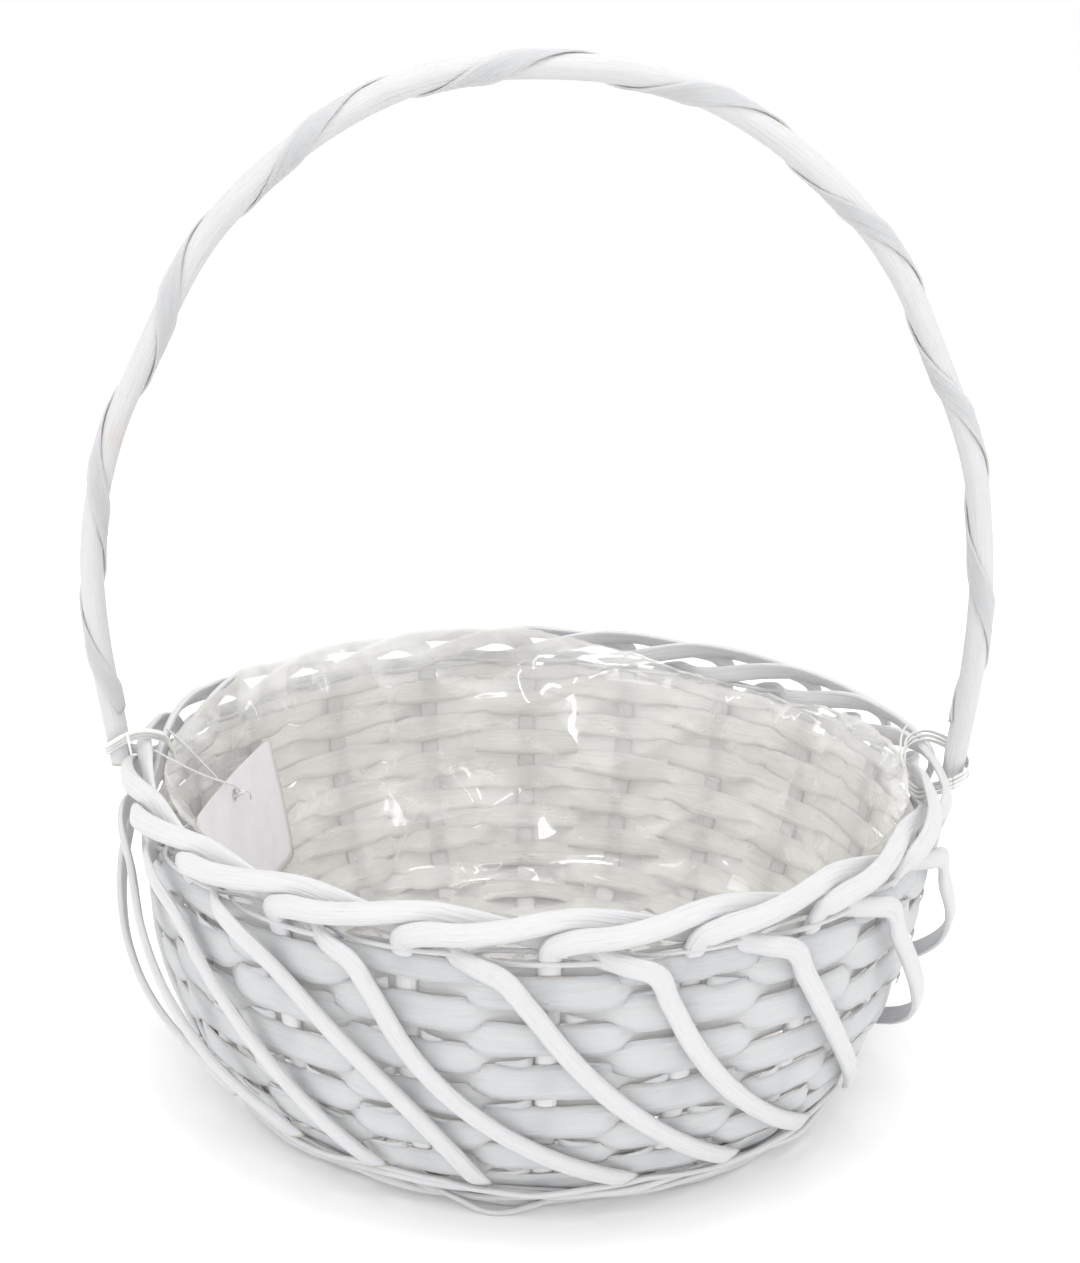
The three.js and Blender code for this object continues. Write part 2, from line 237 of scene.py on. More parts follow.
def strip_section(width, thick, crown=0.0, across=6):
    """A flat strip's section: both faces have the same low crown, and the edges are blunt."""
    x = np.concatenate([np.linspace(1, -1, across), np.linspace(-1, 1, across)])
    face = np.concatenate([np.full(across, 0.5), np.full(across, -0.5)])
    edge = np.where(np.abs(x) > 0.99, 0.55, 1.0)
    width, thick = np.asarray(width)[:, None], np.asarray(thick)[:, None]
    return width / 2 * x, thick * face * edge + crown * (1 - x ** 2)


def carried(centres, out, section, ring=False):
    """A section carried along a path: centre + across * x + out * y."""
    _, out, across = directions(centres, out, ring)
    x, y = section
    return centres[:, None] + across[:, None] * x[..., None] + out[:, None] * y[..., None]


def settle(piece, slot, *nodes, body=BASKET):
    """Fixes a piece to its body and hides the frame nodes it stands for; the slot it is given, its
    finish's name, is not used.
    """
    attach(piece, body)
    if nodes:
        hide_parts(*nodes)
    return piece


# ---------------------------------------------------------------- finishes

class Signal:
    """A number in a finish; arithmetic on it adds Math nodes."""

    def __init__(self, finish, socket):
        self.finish, self.socket = finish, socket

    def maths(self, operation, *values, clamp=False):
        made = self.finish.node("Math", {"operation": operation, "use_clamp": clamp},
                                dict(enumerate(values)))
        return Signal(self.finish, made.outputs[0])

    def __add__(self, other):
        return self.maths("ADD", self, other)

    def __radd__(self, other):
        return self.maths("ADD", other, self)

    def __sub__(self, other):
        return self.maths("SUBTRACT", self, other)

    def __rsub__(self, other):
        return self.maths("SUBTRACT", other, self)

    def __mul__(self, other):
        return self.maths("MULTIPLY", self, other)

    def __rmul__(self, other):
        return self.maths("MULTIPLY", other, self)

    def __pow__(self, other):
        return self.maths("POWER", self, other)

    def between(self, low, high):
        """0 below low, 1 above high, smooth between."""
        made = self.finish.node("MapRange", {"interpolation_type": "SMOOTHSTEP"},
                                {"Value": self, "From Min": low, "From Max": high})
        return Signal(self.finish, made.outputs[0])


class Finish:
    """A material under construction, with one Principled shader."""

    def __init__(self, name, constants):
        self.material = bpy.data.materials.new(name)
        self.material.use_nodes = True
        self.tree = self.material.node_tree
        self.tree.nodes.clear()
        self.output = self.node("OutputMaterial")
        self.shader = self.node("BsdfPrincipled", {}, constants)
        self.tree.links.new(self.shader.outputs[0], self.output.inputs["Surface"])

    def node(self, kind, settings=None, values=None):
        """Adds a shader node: its settings first, then a value or a link for each socket."""
        made = self.tree.nodes.new("ShaderNode" + kind)
        for key, value in (settings or {}).items():
            setattr(made, key, value)
        for key, value in (values or {}).items():
            self.feed(made.inputs[key], value)
        return made

    def feed(self, socket, value):
        """Sets a socket to a constant, or links a signal or another socket to it."""
        if isinstance(value, Signal):
            self.tree.links.new(value.socket, socket)
        elif isinstance(value, bpy.types.NodeSocket):
            self.tree.links.new(value, socket)
        else:
            socket.default_value = value

    def lay(self, scale=(1, 1, 1)):
        """The piece's own UV map (millimetres along and across), stretched."""
        uv = self.node("UVMap", {"uv_map": "Lay"})
        return self.node("Mapping", {}, {"Vector": uv.outputs[0], "Scale": scale}).outputs[0]

    def place(self, scale=(1, 1, 1)):
        """Object coordinates, stretched."""
        where = self.node("TexCoord")
        return self.node("Mapping", {}, {"Vector": where.outputs["Object"], "Scale": scale}).outputs[0]

    def noise(self, vector, scale, detail=3.0, rough=0.5, distortion=0.0):
        made = self.node("TexNoise", {}, {"Vector": vector, "Scale": scale, "Detail": detail,
                                          "Roughness": rough, "Distortion": distortion})
        return Signal(self, made.outputs[0])

    def fold_bands(self, stretch, scale):
        """Straight sharp ridges that run crosswise through the piece, bent a little: a triangle wave."""
        made = self.node("TexWave", {"wave_type": "BANDS", "bands_direction": "DIAGONAL",
                                     "wave_profile": "TRI"},
                         {"Vector": self.place(stretch), "Scale": scale, "Distortion": 3.0, "Detail": 0.0})
        return Signal(self, made.outputs["Fac"])

    def mark(self, name):
        """A number stored on the mesh's points."""
        made = self.node("Attribute", {"attribute_name": name})
        return Signal(self, made.outputs["Fac"])

    def blend(self, share, first, second):
        """A colour mixed between two others."""
        made = self.node("Mix", {"data_type": "RGBA"}, {"Factor": share})
        self.feed(made.inputs[6], first)
        self.feed(made.inputs[7], second)
        return made.outputs[2]

    def raise_by(self, height, distance, strength=1.0):
        """Bump from a height signal; distance in metres."""
        bump = self.node("Bump", {}, {"Height": height, "Distance": distance, "Strength": strength})
        self.feed(self.shader.inputs["Normal"], bump.outputs[0])


def rgba(colour):
    return (*tuple(colour)[:3], 1.0)


def painted_rod_finish(name, paint, raw):
    """White paint brushed over a split rod: long grain, thin patches, raw wood at cut ends."""
    f = Finish(name, {"Coat Weight": 0.12, "Coat Roughness": 0.35})
    grain = f.noise(f.lay((0.05, 1.6, 1)), 1.0, 4, 0.6)
    streak = f.noise(f.lay((0.012, 0.5, 1)), 1.0, 3, 0.55)
    blotch = f.noise(f.place(), 28, 3, 0.6)
    thin = (streak * 0.6 + blotch * 0.5).between(0.5, 0.68)
    cut = f.mark("raw")
    base = f.blend(thin * 0.35, rgba(paint), (0.64, 0.64, 0.65, 1))
    crack = (grain + blotch * 0.25).between(0.74, 0.86) * 0.4
    base = f.blend(crack, base, (0.52, 0.47, 0.40, 1))
    base = f.blend((cut + grain * 0.35 - 0.2).between(0.25, 0.75) * 0.8, base, rgba(raw))
    f.feed(f.shader.inputs["Base Color"], base)
    f.feed(f.shader.inputs["Roughness"], 0.36 + grain * 0.3)
    f.raise_by(grain * 0.7 + streak * 0.6 + blotch * 0.4, 0.0009, 0.75)
    return f.material


def painted_chip_finish(name, paint, inside, raw):
    """Thin paint over flat wood chip: fine straight grain, warm unpainted inner face, raw edges. The inner
    face's colour is also much lighter than the outer paint: painted fill light for the shaded inside of
    the bowl.
    """
    f = Finish(name, {"Coat Weight": 0.05, "Coat Roughness": 0.4, "Subsurface Weight": 0.5,
                      "Subsurface Radius": (1.0, 0.95, 0.9), "Subsurface Scale": 0.004})
    fibre = f.noise(f.lay((0.025, 1.5, 1)), 1.0, 4, 0.7)
    band = f.noise(f.lay((0.01, 0.5, 1)), 1.0, 3, 0.5)
    blotch = f.noise(f.place(), 35, 3, 0.6)
    inner = f.mark("inner")
    # The inner face's colour is partly its warm thin paint and partly painted fill light. It is set far
    # lighter than the outer paint to brighten the shaded inside of the bowl.
    base = f.blend(inner.between(0.3, 0.7), rgba(paint), rgba(inside))
    base = f.blend((band * 0.5 + blotch * 0.5).between(0.52, 0.72) * 0.35, base, (0.62, 0.61, 0.60, 1))
    base = f.blend(fibre.between(0.52, 0.72) * 0.3, base, (0.52, 0.50, 0.46, 1))
    base = f.blend((f.mark("raw") + fibre * 0.4 - 0.2).between(0.4, 0.9) * 0.6, base, rgba(raw))
    f.feed(f.shader.inputs["Base Color"], base)
    f.feed(f.shader.inputs["Roughness"], 0.48 + fibre * 0.28)
    f.raise_by(fibre * 0.8 + band * 0.8 + blotch * 0.3, 0.0009, 0.75)
    return f.material


def film_finish(name, haze_colour):
    """Clear wrapping film: see-through, with sharp reflections that grow at grazing angles, and a
    milky haze along its folds."""
    f = Finish(name, {"Roughness": 0.2, "IOR": 1.45})
    cloud = f.noise(f.place(), 30, 3, 0.55)
    folds = f.fold_bands((1, 0.4, 0.7), 4) * 0.6 + f.fold_bands((-0.6, 1, 1.3), 6) * 0.4
    f.feed(f.shader.inputs["Base Color"], rgba(haze_colour))
    f.raise_by(folds + cloud * 0.1, 0.016, 0.7)
    bump = f.shader.inputs["Normal"].links[0].from_socket
    facing = Signal(f, f.node("LayerWeight", {}, {"Blend": 0.3}).outputs["Facing"])
    clear = f.node("BsdfTransparent", {}, {"Color": (1, 1, 1, 1)})
    gloss = f.node("BsdfGlossy", {}, {"Color": (1, 1, 1, 1), "Roughness": 0.09, "Normal": bump})
    grazing = facing * facing * 0.3 + 0.12
    shine = f.node("MixShader", {}, {0: grazing, 1: clear.outputs[0], 2: gloss.outputs[0]})
    milky = f.mark("fold").between(0.2, 1.0) * 0.45 + cloud.between(0.4, 0.7) * 0.1 + 0.17
    haze = f.node("MixShader", {}, {0: milky, 1: shine.outputs[0], 2: f.shader.outputs[0]})
    f.tree.links.new(haze.outputs[0], f.output.inputs["Surface"])
    return f.material


def card_finish(name, colour):
    """Plain uncoated card: faint mottle and fibre, slightly darker cut edge."""
    f = Finish(name, {"Roughness": 0.75})
    mottle = f.noise(f.place(), 90, 4, 0.6)
    fleck = f.noise(f.place(), 900, 2, 0.5)
    shade = f.blend(mottle.between(0.35, 0.7) * 0.25, rgba(colour), (0.62, 0.60, 0.63, 1))
    f.feed(f.shader.inputs["Base Color"], f.blend(f.mark("raw") * 0.5, shade, (0.55, 0.53, 0.50, 1)))
    f.raise_by(mottle * 0.4 + fleck * 0.6, 0.0001, 0.4)
    return f.material


def fibre_finish(name, colour, twist):
    """Twisted fibre: slanted plies along the piece."""
    f = Finish(name, {"Roughness": 0.7, "Sheen Weight": 0.2})
    wave = f.node("TexWave", {"wave_type": "BANDS", "bands_direction": "DIAGONAL"},
                  {"Vector": f.lay((1, 1, 1)), "Scale": twist, "Distortion": 0.6, "Detail": 1.0})
    ply = Signal(f, wave.outputs["Fac"])
    fuzz = f.noise(f.place(), 600, 3, 0.6)
    f.feed(f.shader.inputs["Base Color"], f.blend(ply * 0.2 + fuzz * 0.15, rgba(colour),
                                                  (0.66, 0.65, 0.62, 1)))
    f.raise_by(ply * 0.8 + fuzz * 0.3, 0.0002, 0.7)
    return f.material


# ---------------------------------------------------------------- what a user may change

def millimetres(name, description, default, low, high):
    """A length in millimetres, with its limits."""
    return FloatProperty(name=name, description=description + ", in millimetres", default=default,
                         min=low, max=high)


def paint(name, description, *colour):
    """A colour, as three numbers between 0 and 1."""
    return FloatVectorProperty(name=name, description=description, subtype="COLOR", default=colour,
                               min=0, max=1)


class BasketSizes(bpy.types.PropertyGroup):
    rod_width: millimetres("Rod width", "Width of the split rods", 6.0, 4, 8)
    rod_thick: millimetres("Rod thickness", "Height of the rods' dome", 2.6, 2, 4)
    chip_width: millimetres("Chip width", "Width of a chip where it crosses a stake", 9.9, 6, 12)
    chip_thick: millimetres("Chip thickness", "Thickness of the chips", 0.6, 0.4, 1.2)
    film_crease: millimetres("Film creases", "Depth of the film's creases", 3.4, 0, 6)
    skein_turns: IntProperty(name="Skein turns", description="Turns of the skein round the handle",
                             default=9, min=4, max=14)


class BasketColours(bpy.types.PropertyGroup):
    rod_paint: paint("Rod paint", "Paint on the rods", 0.68, 0.68, 0.69)
    chip_paint: paint("Chip paint", "Paint on the chips' outer faces", 0.6, 0.612, 0.625)
    # Partly the warm thin paint of the inner faces, partly painted fill light: far lighter than the outer
    # chip paint, to brighten the shaded inside of the bowl
    chip_inner_paint_and_light: paint("Chip inside", "The chips' thinly painted inner faces", 0.925, 0.895, 0.845)
    raw_wood: paint("Raw wood", "Wood at cut and torn edges", 0.58, 0.49, 0.37)
    film: paint("Film", "The film's haze", 0.92, 0.915, 0.89)
    card: paint("Card", "The blank tag", 0.82, 0.81, 0.825)
    thread: paint("Thread", "Thread and ties", 0.86, 0.855, 0.84)


def finish_for(kind):
    """Each finish is made once, when a piece first needs it."""
    made = bpy.data.materials.get(kind)
    if made:
        return made
    c = bpy.context.scene.basket_colours
    if kind == "painted rod":
        return painted_rod_finish(kind, c.rod_paint, c.raw_wood)
    if kind == "painted chip":
        return painted_chip_finish(kind, c.chip_paint, c.chip_inner_paint_and_light, c.raw_wood)
    if kind == "painted skein":
        return painted_chip_finish(kind, c.rod_paint, c.rod_paint, c.raw_wood)
    if kind == "clear film":
        return film_finish(kind, c.film)
    if kind == "plain card":
        return card_finish(kind, c.card)
    return fibre_finish(kind, c.thread, 0.9)


# ---------------------------------------------------------------- stakes and border

# How some falling ends stray from the rest: degrees at mid fall, degrees at the foot, and how far
# they bow off the wall, in millimetres
STRAY = {
    11: (-2, 0, 4.0), 12: (0, 2, 7.0), 13: (2, 0, 4.5), 14: (3, -3, 1.0), 15: (6, -5, 0.8),
    16: (-6, -1, 0.4), 17: (-3, -2, 0.5), 18: (-5, -4, 0.3), 19: (-2, -7, 1.5),
    0: (-4, -2, 6.0), 1: (-3, 0, 8.0), 2: (0, -3, 7.5), 3: (2, 1, 5.0),
}


def stake_knots(index):
    """Knots from the base edge up the wall, through the border and down to the foot: points, and the
    way the domed face looks at each."""
    turn = FIRST_STAKE + index * STEP
    rng = np.random.default_rng(100 + index)
    mid, foot, bow = STRAY.get(index, tuple(rng.uniform((-3, -3, 0.2), (3, 3, 2.5))))
    standing = np.array([10, 20, 32, 46, 60, 74, 84.0])
    radius, z, out_r, out_z = wall(standing)
    facing = np.degrees(np.arctan2(-out_z, out_r))
    rows = [(0, 54, BASE_LEVEL, 90), (0, 72, BASE_LEVEL, 90)]
    rows += list(zip(np.zeros(7), radius, z, facing))
    lift = rng.uniform(-0.5, 0.5)
    rows += [(0, 117.0, 89, 0), (0.3, 119.0, 92.4, -6), (2.6, 120.4, 94.9, -16),
             (8, 120.2, 96.2 + lift, -26), (13, 119, 97.5 + lift, -34), (18, 116.8, 98.6, -38),
             (22, 115.2, 98.6, -32), (26, 114.2, 97.2, -18),
             (30, 113.6, 95.2, -8), (34, 113.2, 92.8, 0), (37.6, 113.2, 90.8, 0), (40.6, 114.3, 89.3, 0),
             (43, 117.6, 88.4, 4), (45.4, 121.0, 87.8, 6), (48, 122.4, 86.2, 8)]
    degrees = np.array([53, 59, 65, 71, 77, 82, 86.0])
    height = np.array([77, 64, 51.5, 40, 29.5, 22, 17.0])
    share = (degrees - 48) / 38
    stray = mid * np.sin(np.pi * share) + foot * share
    offset = 5.2 + bow * np.sin(np.pi * np.minimum(share * 1.08, 1)) ** 1.3
    fall = off_wall(degrees + stray, height, offset)
    points = [polar(r, turn + d, h) for d, r, h, _ in rows]
    points += list(polar(0, 0, 0) + rotate(fall, turn))
    aim = [(turn + d, dip) for d, _, _, dip in rows]
    aim += [(turn + d, 15) for d in degrees + stray]
    out = [np.cos(np.radians(dip)) * polar(1, a, 0) - np.sin(np.radians(dip)) * np.array([0, 0, 1])
           for a, dip in aim]
    return np.array(points), np.array(out)


def rotate(points, degrees):
    """Turns points about the basket's axis, towards the right seen from the front."""
    a = np.radians(degrees)
    x, y, z = points[..., 0], points[..., 1], points[..., 2]
    return np.stack([x * np.cos(a) - y * np.sin(a), x * np.sin(a) + y * np.cos(a), z], -1)


def rod_piece(name, index, sizes):
    """A split rod: half-round section carried along the stake's line, tapering to a slanted cut end,
    with its width, bow and surface wavering a little."""
    points, aim = stake_knots(index)
    line = smooth_line(np.concatenate([points, aim], 1), 230)
    centres, out = line[:, :3], unit(line[:, 3:])
    length = run_length(centres)
    share = length / length[-1]
    width = sizes.rod_width * (1.04 - 0.14 * share) + wander(length / 9, index, 0.14)
    thick = sizes.rod_thick * (1.0 - 0.12 * share) + wander(length / 6, 50 + index, 0.1)
    bend = np.linalg.norm(np.gradient(unit(np.gradient(centres, axis=0)), axis=0), axis=1)
    crush = np.clip(bend / 0.12, 0, 1)
    width = width * (1 + 0.06 * crush)
    thick = thick * (1 - 0.16 * crush)
    tip = smoothstep(length[-1] - length, 0, 5)
    thick = thick * (0.45 + 0.55 * tip)
    x, y = half_round(width, thick)
    shape = carried(centres, out, (x, y))
    along, _, _ = directions(centres, out)
    slant = np.clip(1 - (length[-1] - length) / 3, 0, 1)[:, None] * x * 0.45
    shape = shape + along[:, None] * slant[..., None]
    knot = np.zeros(len(length))
    rng = np.random.default_rng(900 + index)
    for place in rng.uniform(0.3, 0.95, 2):
        knot += np.exp(-((share - place) / 0.006) ** 2)
    shape += (unit(out)[:, None] * (knot[:, None] * np.maximum(y, 0) * 0.22)[..., None])
    perimeter = np.linspace(0, 16, shape.shape[1] + 1)
    raw = np.maximum(1 - (length[-1] - length) / 1.2, 0) * 0.9 + crush * 0.18 + knot * 0.25
    along_uv = np.append(length, length[-1]) + index * 37
    return grid_piece(name, shape, finish_for("painted rod"), (along_uv, perimeter),
                      marks={"raw": raw[:, None]})


class BASKET_OT_stakes(bpy.types.Operator):
    """Build the rods that stand in the wall, fold into the border and run down outside it"""
    bl_idname = "basket.stakes"
    bl_label = "Stakes and border"

    def execute(self, context):
        for i in range(STAKES):
            rod = rod_piece(f"rod_{i + 1:02d}", i, context.scene.basket_sizes)
            settle(rod, "painted_rod", f"stake_{i + 1:02d}")
        return {"FINISHED"}


# ---------------------------------------------------------------- woven rows

def over_under(degrees, first, lean=0.0):
    """1 outside a stake, -1 inside the next: a cosine with flattened crests. With some lean it stays
    outside for longer and only dips behind the stake."""
    wave = np.cos(np.pi * (degrees - FIRST_STAKE) / STEP) * first
    return np.tanh(2.6 * (wave + lean))


def chip_row(name, index, sizes):
    """A row of chip: a flat strip carried round the wall, over and under the stakes, its lower edge
    standing out like a shingle's. It is wide where it crosses a stake and narrow where it passes its
    neighbours; the twelfth, under the border, is a narrow one."""
    degrees = np.linspace(0, 360, STAKES * 18, endpoint=False) + FIRST_STAKE
    side = over_under(degrees, -1 if index % 2 else 1, 0.24)
    top = index == ROWS
    radius, z, out_r, out_z = wall_at_length(FIRST_ROW + (index - 0.25 * top) * ROW_PITCH)
    swing = np.where(side > 0, 2.15, 1.65) * side
    drift = ring_wander(degrees, 300 + index, 0.5, 6, 3)
    radius = radius + out_r * swing - out_z * drift
    height = z + out_z * swing + out_r * drift
    centres = polar(radius, degrees, height)
    rear = smoothstep(np.abs(np.mod(degrees + 180, 360) - 180), 70, 120)
    tilt = 0.13 - 0.2 * rear + ring_wander(degrees, 340 + index, 0.03, 5, 4)
    out = polar(out_r, degrees, out_z) + polar(0, 0, 1) * tilt[:, None]
    gap = smoothstep(ring_wander(degrees, 380 + index, 1.0, 6, 3), 0.0, 0.5)
    gap = gap * (0.1 + 2.3 * rear)
    narrow = (ROW_PITCH + 0.9 - gap) * (1 - 0.25 * top)
    wide = sizes.chip_width * (1 - 0.35 * top) + ring_wander(degrees, 420 + index, 1.1, 6, 5)
    wide = np.where(side > 0, wide, wide - 1.0)
    spread = np.abs(np.cos(np.pi * (degrees - FIRST_STAKE) / STEP) * (-1 if index % 2 else 1) + 0.24)
    width = narrow + (wide - narrow) * smoothstep(spread, 0.05, 0.6)
    thick = np.full(len(degrees), sizes.chip_thick)
    section = strip_section(width, thick, crown=0.08)
    shape = carried(centres, out, section, ring=True)
    run = np.append(np.radians(degrees - FIRST_STAKE) * radius, 2 * np.pi * np.mean(radius))
    around = np.concatenate([np.linspace(0, 8, 6), np.linspace(9, 17, 6), [18]])
    # The inner face takes the finish's lighter inner colour, which is partly painted fill light
    inner = np.concatenate([np.zeros(6), np.ones(6)])
    edge = np.zeros(12)
    edge[[0, 5, 6, 11]] = 1
    torn = 0.25 + 0.5 * smoothstep(ring_wander(degrees, 460 + index, 1.0, 7, 7), 0.1, 0.9)
    return grid_piece(name, shape, finish_for("painted chip"), (run + index * 61, around), ring=True,
                      marks={"inner": inner[None], "raw": torn[:, None] * edge[None]})


def chip_tips(name):
    """Torn slivers beside the stakes: little pointed leaves, flat on the wall, their roots tucked in
    at a stake. Each is a strip whose width shrinks to a point along its length."""
    rng = np.random.default_rng(7)
    pieces = []
    steps = 6
    for row in range(1, ROWS):
        first = 0 if row % 2 else 1
        for stake in range(first, STAKES, 2):
            for way in (-1, 1):
                if rng.random() < 0.4:
                    continue
                reach = rng.uniform(5, 10.5)
                root = FIRST_STAKE + stake * STEP + way * 1.9
                radius, z, out_r, out_z = wall_at_length(
                    FIRST_ROW + row * ROW_PITCH + rng.uniform(-0.7, 0.5))
                share = np.linspace(0, 1, steps)
                degrees = root + way * np.degrees(reach * share / radius)
                lift = 1.9 + 1.3 * smoothstep(share, 0, 0.35) + rng.uniform(0, 0.2)
                height = z + out_z * lift + share * rng.uniform(-0.6, 0.6)
                centres = polar(radius + out_r * lift, degrees, height)
                if way < 0:
                    centres, taper = centres[::-1], share[::-1]
                else:
                    taper = share
                width = 3.1 * (1 - taper) ** 0.75 + 0.12
                out = np.broadcast_to(polar(out_r, root, out_z), centres.shape)
                section = strip_section(width, np.full(steps, 0.35), crown=0.05, across=3)
                shape = carried(centres, out, section)
                run = np.append(share * reach, reach) + row * 13
                raw = 0.25 + 0.6 * (1 - taper) * rng.uniform(0.4, 1.0)
                edge = np.array([1, 0.25, 1, 1, 0.25, 1])
                marks = {"inner": np.zeros((1, 6)), "raw": raw[:, None] * edge[None]}
                pieces.append(grid_piece("tip", shape, finish_for("painted chip"),
                                         (run, np.arange(7.0)), marks=marks))
    return joined(name, pieces)


class BASKET_OT_weave(bpy.types.Operator):
    """Build the rows of chip woven round the stakes, and their torn tips"""
    bl_idname = "basket.weave"
    bl_label = "Chip weave"

    def execute(self, context):
        for i in range(ROWS + 1):
            row = chip_row(f"chip_row_{i + 1:02d}", i, context.scene.basket_sizes)
            settle(row, "painted_chip", f"weave_row_{i + 1:02d}" if i < ROWS else "top_wale")
        for i in (-1, -2):
            settle(chip_row(f"foot_row_{-i}", i, context.scene.basket_sizes), "painted_chip")
        settle(chip_tips("chip_tips"), "painted_chip")
        return {"FINISHED"}


def reed_ring(name, degrees, centres, thick, seed, kind="painted rod"):
    """A thin round rod closed into a ring, its thickness wavering."""
    radius = thick / 2 * (1 + ring_wander(degrees, seed, 0.12, 5, 5))
    a = np.linspace(0, 2 * np.pi, 8, endpoint=False)
    section = (radius[:, None] * np.cos(a), radius[:, None] * np.sin(a) * 0.85)
    shape = carried(centres, polar(1, degrees, 0), section, ring=True)
    run = np.append(np.radians(degrees - degrees[0]), 2 * np.pi) * 100 + seed * 11
    raw = smoothstep(ring_wander(degrees, seed + 5, 1, 6, 6), 0.7, 1.2) * 0.4
    return grid_piece(name, shape, finish_for(kind), (run, np.linspace(0, 6, 9)), ring=True,
                      marks={"raw": raw[:, None], "inner": np.zeros((len(degrees), 1))})


def top_reed(name, index):
    """A reed under the border, over and under the stakes; two of them swing opposite ways."""
    degrees = np.linspace(0, 360, STAKES * 12, endpoint=False) + FIRST_STAKE
    side = over_under(degrees, -1 if index else 1)
    radius, z, out_r, out_z = wall_at_height(88.0 + 1.2 * index)
    swing = np.where(side > 0, 2.7, 2.2) * side
    height = z + out_z * swing + ring_wander(degrees, 500 + index, 0.25, 5, 3)
    return reed_ring(name, degrees, polar(radius + out_r * swing, degrees, height), 1.4, 510 + index)


def foot_reed(name, index):
    """A foot strand: it winds loosely round the foot, in and out past its neighbours."""
    degrees = np.linspace(0, 360, STAKES * 12, endpoint=False) + FIRST_STAKE
    level = np.array([1.5, 2.4, 4.0, 5.8, 7.8, 9.8, 11.8])[index]
    base = np.array([90.5, 93.4, 95.6, 97.2, 98.8, 100.8, 102.6])[index]
    twine = np.sin(np.radians(degrees) * (STAKES / 2 + index % 3 - 1) + index * 2.2)
    radius = base + 0.8 * twine + ring_wander(degrees, 530 + index, 0.9, 5, 2)
    height = level + 1.2 * np.cos(np.radians(degrees) * (STAKES / 2 - index % 2) + index * 1.7)
    height = np.maximum(height + ring_wander(degrees, 560 + index, 1.1, 5, 2), 1.45 + 0.5 * index)
    thick = np.array([2.5, 2.6, 2.3, 2.5, 2.0, 2.3, 1.8])[index]
    return reed_ring(name, degrees, polar(radius, degrees, height), thick, 590 + index)


def loose_loop(name):
    """A foot strand's slack bight: it drops to the floor at the front and rises again in a V."""
    knots = [polar(96.5, -15, 5), polar(97.6, -11, 3.2), polar(98.6, -7.5, 1.4), polar(98.9, -5.6, 1.15),
             polar(98.6, -3.4, 1.4), polar(97.6, 0.5, 3), polar(96.5, 5, 5)]
    centres = smooth_line(knots, 60)
    degrees = np.degrees(np.arctan2(centres[:, 0], -centres[:, 1]))
    a = np.linspace(0, 2 * np.pi, 8, endpoint=False)
    section = (np.full((60, 1), 0.95) * np.cos(a), np.full((60, 1), 0.8) * np.sin(a))
    shape = carried(centres, polar(1, degrees, 0), section)
    run = run_length(centres)
    return grid_piece(name, shape, finish_for("painted rod"),
                      (np.append(run, run[-1]), np.linspace(0, 6, 9)), marks={"raw": np.zeros((60, 1))})


class BASKET_OT_wales(bpy.types.Operator):
    """Build the thin reeds under the border and the strands round the foot"""
    bl_idname = "basket.wales"
    bl_label = "Top and foot wales"

    def execute(self, context):
        settle(top_reed("top_reed_1", 0), "painted_chip")
        settle(top_reed("top_reed_2", 1), "painted_chip")
        for i in range(7):
            strand = foot_reed(f"foot_reed_{i + 1}", i)
            settle(strand, "painted_rod", *([f"foot_wale_{i + 1:02d}"] if i < 3 else []))
        settle(loose_loop("foot_loop"), "painted_rod")
        return {"FINISHED"}


# ---------------------------------------------------------------- base

def base_stick_piece(name, index):
    """A base stick: a half-round rod straight through the middle, fanned out to a spoke at each end."""
    layer, place = index // 5, index % 5 - 2
    lead = FIRST_STAKE + (0 if layer else 90)
    middle = 4.3 if layer else 7.65
    along, aside = polar(1, lead, 0), polar(1, lead + 90, 0)
    half = []
    for reach, fanned in ((2, 0), (13, 0), (24, 1), (48, 1), (74, 1)):
        straight = along * reach + aside * 4.2 * place
        fan = polar(reach, lead + STEP * place, 0)
        point = fan if fanned else straight
        half.append(point + np.array([0, 0, 7.65 if fanned else middle]))
    half = np.array(half)
    mirrored = half - 2 * (half @ along)[:, None] * along
    centres = smooth_line(np.concatenate([mirrored[::-1], half]), 90)
    length = run_length(centres)
    width = np.full(90, 3.6) + wander(length / 12, 700 + index, 0.15)
    down = np.broadcast_to([0, 0, -1.0], centres.shape)
    shape = carried(centres, down, half_round(width, np.full(90, 2.9)))
    ends = np.minimum(length, length[-1] - length)
    return grid_piece(name, shape, finish_for("painted rod"),
                      (np.append(length, length[-1]) + 31 * index, np.linspace(0, 10, 15)),
                      marks={"raw": np.maximum(1 - ends / 1.5, 0)[:, None]})


def base_row_piece(name, index, sizes):
    """A row of chip laid flat, over and under the sticks."""
    radius = np.array([30, 36.5, 43, 49.5, 57.5, 64, 70.5, 77.2])[index]
    level, swing = (7.65, 2.3) if index < 4 else (6.25, 3.7) if index < 7 else (4.8, 2.3)
    degrees = np.linspace(0, 360, STAKES * 12, endpoint=False) + FIRST_STAKE
    side = over_under(degrees, -1 if index % 2 else 1)
    centres = polar(radius + ring_wander(degrees, 730 + index, 0.2, 4, 3), degrees, level + swing * side)
    width = 6.25 + 0.9 * smoothstep(np.abs(side), 0.4, 1)
    section = strip_section(width, np.full(len(degrees), sizes.chip_thick), crown=0.1)
    shape = carried(centres, np.broadcast_to([0, 0, 1.0], centres.shape), section, ring=True)
    run = np.append(np.radians(degrees - FIRST_STAKE), 2 * np.pi) * radius + index * 40
    around = np.concatenate([np.linspace(0, 8, 6), np.linspace(9, 17, 6), [18]])
    edge = np.zeros(12)
    edge[[0, 5, 6, 11]] = 0.5
    # The upper faces, seen inside the bowl, take the finish's lighter inner colour, which is partly
    # painted fill light
    inner = np.concatenate([np.ones(6), np.zeros(6)])
    return grid_piece(name, shape, finish_for("painted chip"), (run, around), ring=True,
                      marks={"inner": inner[None], "raw": edge[None]})


